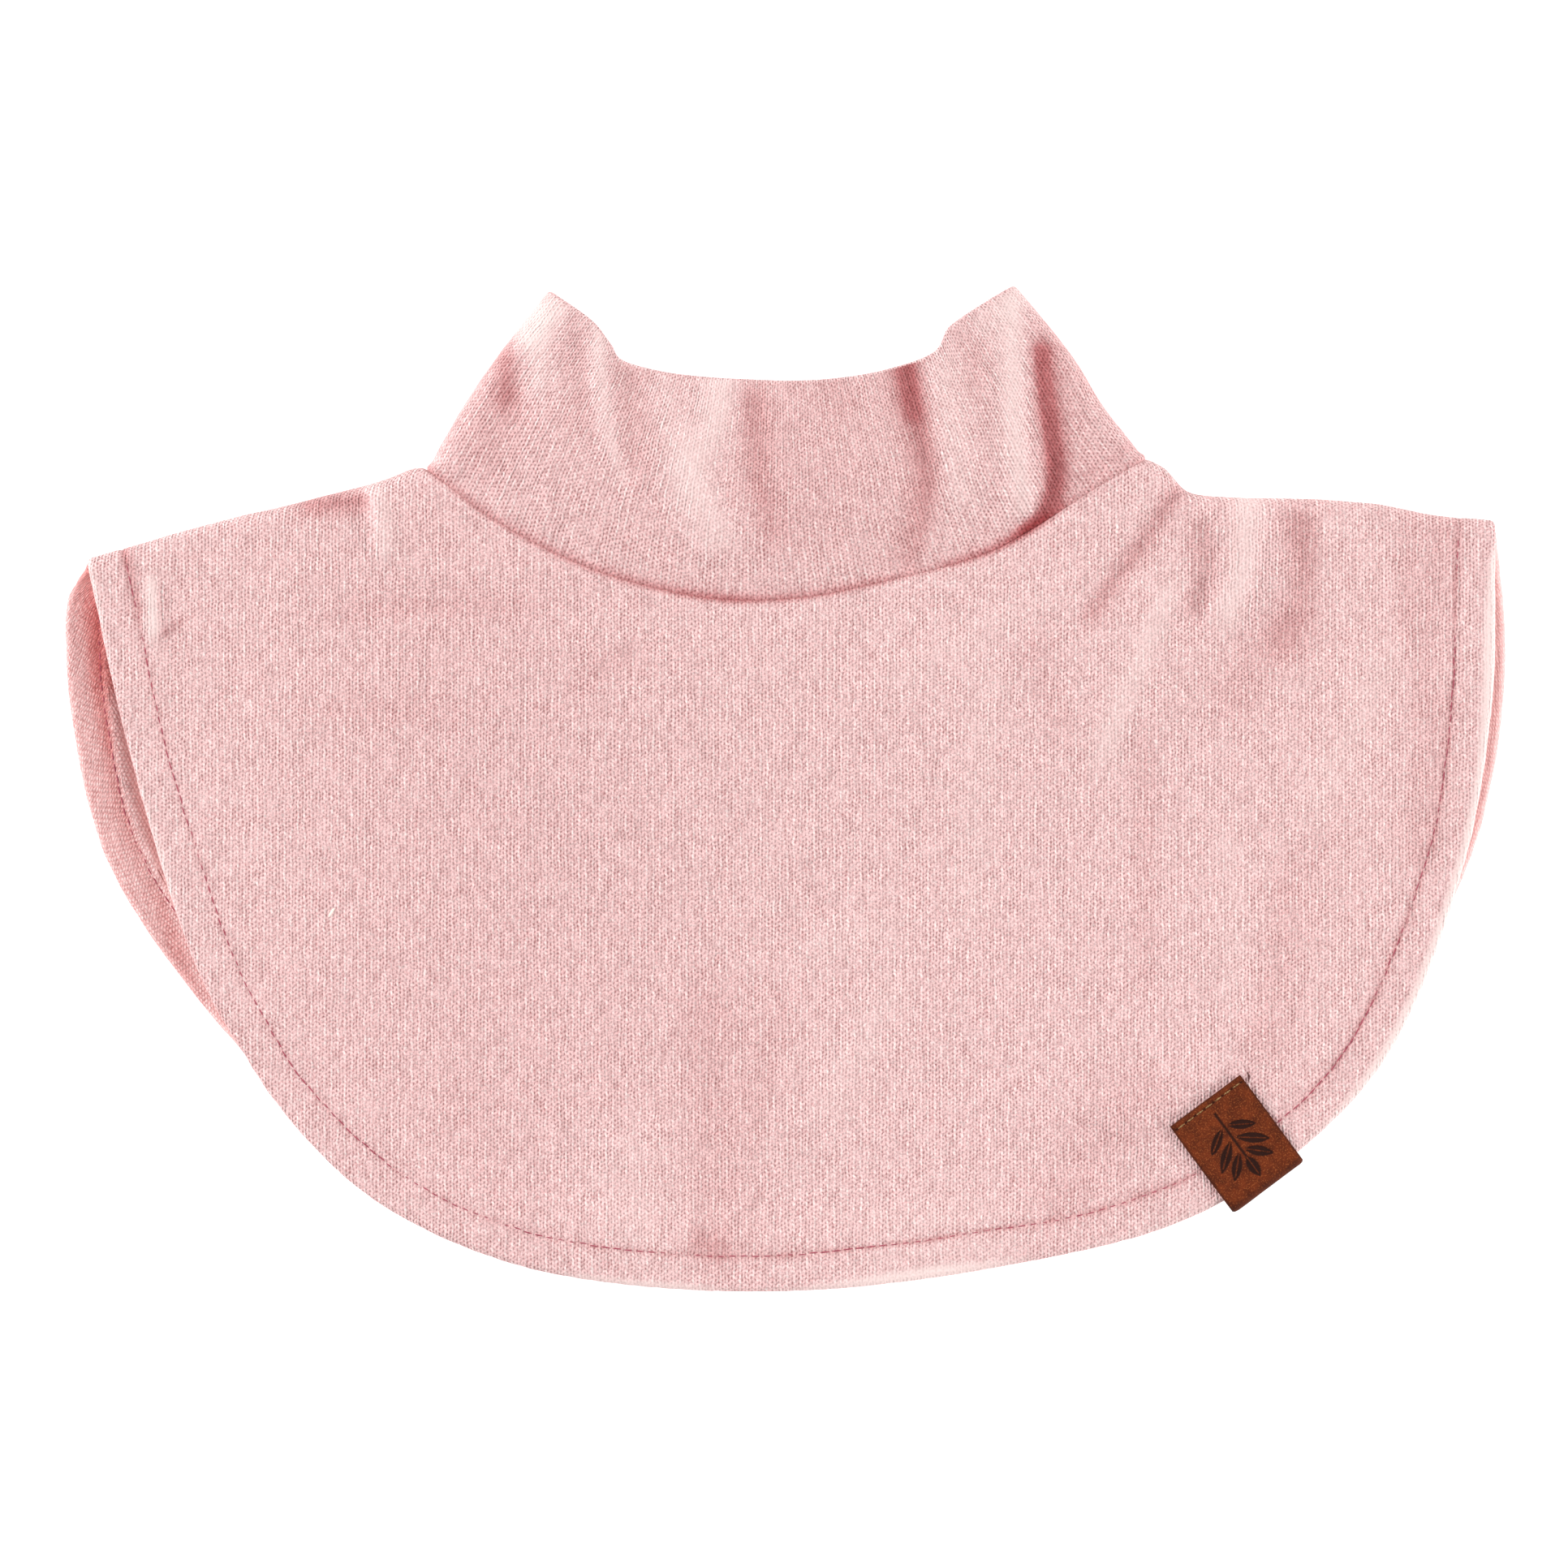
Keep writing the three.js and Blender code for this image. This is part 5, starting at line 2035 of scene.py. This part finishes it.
@dataclass
class TabStitching:
    """The stitches along the tab's end."""

    thread: float = 0.19
    filled: float = 0.86
    reach: float = 0.6
    proud: float = 0.03

    def build(self, tab: LabelTab, piece: bpy.types.Object, finish: bpy.types.Material) -> bpy.types.Object:
        """Sews the tab down.

        Args:
            tab: The tab's sizes.
            piece: Its finished leather.
            finish: The thread's material.

        Returns:
            The row of stitches.
        """
        probe = ClothProbe(piece)
        holes = tab.stitch_holes()
        row = []
        for y in (holes[1:] + holes[:-1]) / 2:
            ends = (tab.in_frame(tab.stitch_inset - tab.LENGTH, y + way * self.reach, 0.0) for way in (-1, 1))
            (first, normal), (second, _) = (probe.hit(*end[:2]) for end in ends)
            row.append(Laid((first + second) / 2 + normal * self.proud, second - first, normal))
        stitch = Stitch((holes[1] - holes[0]) * self.filled, self.thread)
        return stitch.sew("label_stitches", row, finish)


@dataclass
class LooseThread:
    """A short end of thread that lies on the cloth."""

    name: str
    at: Place
    way: Place
    length: float
    thickness: float
    bow: float

    def build(self, cloth: bpy.types.Object, finish: bpy.types.Material) -> bpy.types.Object:
        """Lays the thread down.

        Args:
            cloth: The finished piece that it lies on.
            finish: The thread's material.

        Returns:
            The thread.
        """
        place, normal = ClothProbe(cloth).hit(*self.at)
        laid = Laid(place + normal * self.thickness * 0.3, Vector((*self.way, 0.0)), normal)
        return Stitch(self.length, self.thickness / 2, self.bow).sew(self.name, [laid], finish)


@dataclass
class Studio:
    """The pale floor, the soft lights and the camera."""

    picture: int = 1932
    scale: float = 0.19
    centre: Place = (-0.38, 1.235)
    focus_height: float = 6.0
    lens: float = 400.0
    sensor: float = 36.0
    air: Colour = (1.0, 0.99, 0.985, 1.0)
    air_strength: float = 0.53
    table_glow: float = 0.85

    def build(self) -> None:
        """Sets up the floor, the lights, the world and the camera."""
        self._floor()
        self._light("key_window", Vector((-3.0, 0.97, 1.6)), 1.5, 106.0)
        self._light("fill_screen", Vector((2.7, -0.2, 0.95)), 1.2, 58.0)
        world = bpy.data.worlds.new("studio_air")
        world.use_nodes = True
        given = {"Color": self.air, "Strength": self.air_strength}
        Graph(world.node_tree).put(world.node_tree.nodes["Background"], given)
        bpy.context.scene.world = world
        bpy.context.scene.view_settings.view_transform = "Standard"
        self._camera()

    def _floor(self) -> None:
        """Lays the white table that the piece lies on."""
        bpy.ops.object.select_all(action="DESELECT")
        bpy.ops.mesh.primitive_plane_add(size=8.0, location=(0, 0, -0.2 * MM))
        floor = bpy.context.object
        floor.name = "studio_floor"
        dressing = Dressing("white_table")
        graph = dressing.graph
        cloudy = graph.noise(graph.object_place(), 3.0)
        floor.data.materials.append(dressing.finish({
            "Base Color": graph.blend(cloudy, paint(186, 186, 186), paint(190, 190, 190)),
            "Roughness": 0.8,
            "Emission Color": (1, 1, 1, 1),
            "Emission Strength": self.table_glow,
        }))

    def _light(self, name: str, place: Vector, size: float, power: float) -> None:
        """Hangs a square soft light that looks at the piece.

        Args:
            name: Its name.
            place: Its place in metres.
            size: Its side in metres.
            power: Its power in watts.
        """
        lamp = bpy.data.lights.new(name, "AREA")
        lamp.size = size
        lamp.energy = power
        light = in_scene(name, lamp)
        light.location = place
        light.rotation_mode = "QUATERNION"
        light.rotation_quaternion = (-place).to_track_quat("-Z", "Y")

    def _camera(self) -> None:
        """Hangs the camera straight above the piece, with the photograph's frame."""
        frame_width = self.picture * self.scale * MM
        data = bpy.data.cameras.new("camera")
        data.lens = self.lens
        data.sensor_width = self.sensor
        data.clip_end = 100.0
        camera = in_scene("camera", data)
        height = frame_width * self.lens / self.sensor + self.focus_height * MM
        camera.location = (self.centre[0] * MM, self.centre[1] * MM, height)
        bpy.context.scene.camera = camera


def main() -> None:
    """Builds the neck warmer and its studio in order."""
    logging.basicConfig(level=logging.INFO, format="%(message)s")
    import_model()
    Studio().build()

    loops, tones = knit_loops_group(), yarn_tone_group()
    bib_knit = KnitFinish("bib_melange_knit").material(loops, tones)
    collar_knit = KnitFinish("collar_melange_knit").material(loops, tones)
    hide = LeatherFinish("label_oiled_leather").material(worn_edge_group())
    rose = ThreadFinish("rose_thread", paint(196, 106, 120), paint(150, 66, 82)).material()
    olive = ThreadFinish("olive_thread", paint(176, 140, 92), paint(104, 70, 38)).material()
    brown = ThreadFinish("brown_thread", paint(104, 46, 42), paint(60, 24, 24)).material()
    cream = ThreadFinish("cream_fibre", paint(255, 253, 244), paint(244, 236, 224)).material()

    def report(*pieces: bpy.types.Object) -> bpy.types.Object:
        """Reports finished pieces.

        Args:
            pieces: The pieces.

        Returns:
            The last one.
        """
        for piece in pieces:
            LOG.info("%s: %d vertices", piece.name, len(piece.data.vertices))
        return pieces[-1]

    bib, tab = Bib(), LabelTab()
    cloth = report(bib.build(bib_knit))
    report(Collar().build(collar_knit))
    report(*HemStitching().build(bib, cloth, rose))
    label = report(tab.build(hide))
    report(LooseThread("cut_thread", (108.05, -67.2), (0.16, -1.0), 2.8, 0.27, 0.35).build(cloth, brown))
    report(LooseThread("pale_fibre", (-106.3, -28.9), (1.6, 2.5), 3.0, 0.62, 0.1).build(cloth, cream))
    report(TabStitching().build(tab, label, olive))


if __name__ == "__main__":
    main()
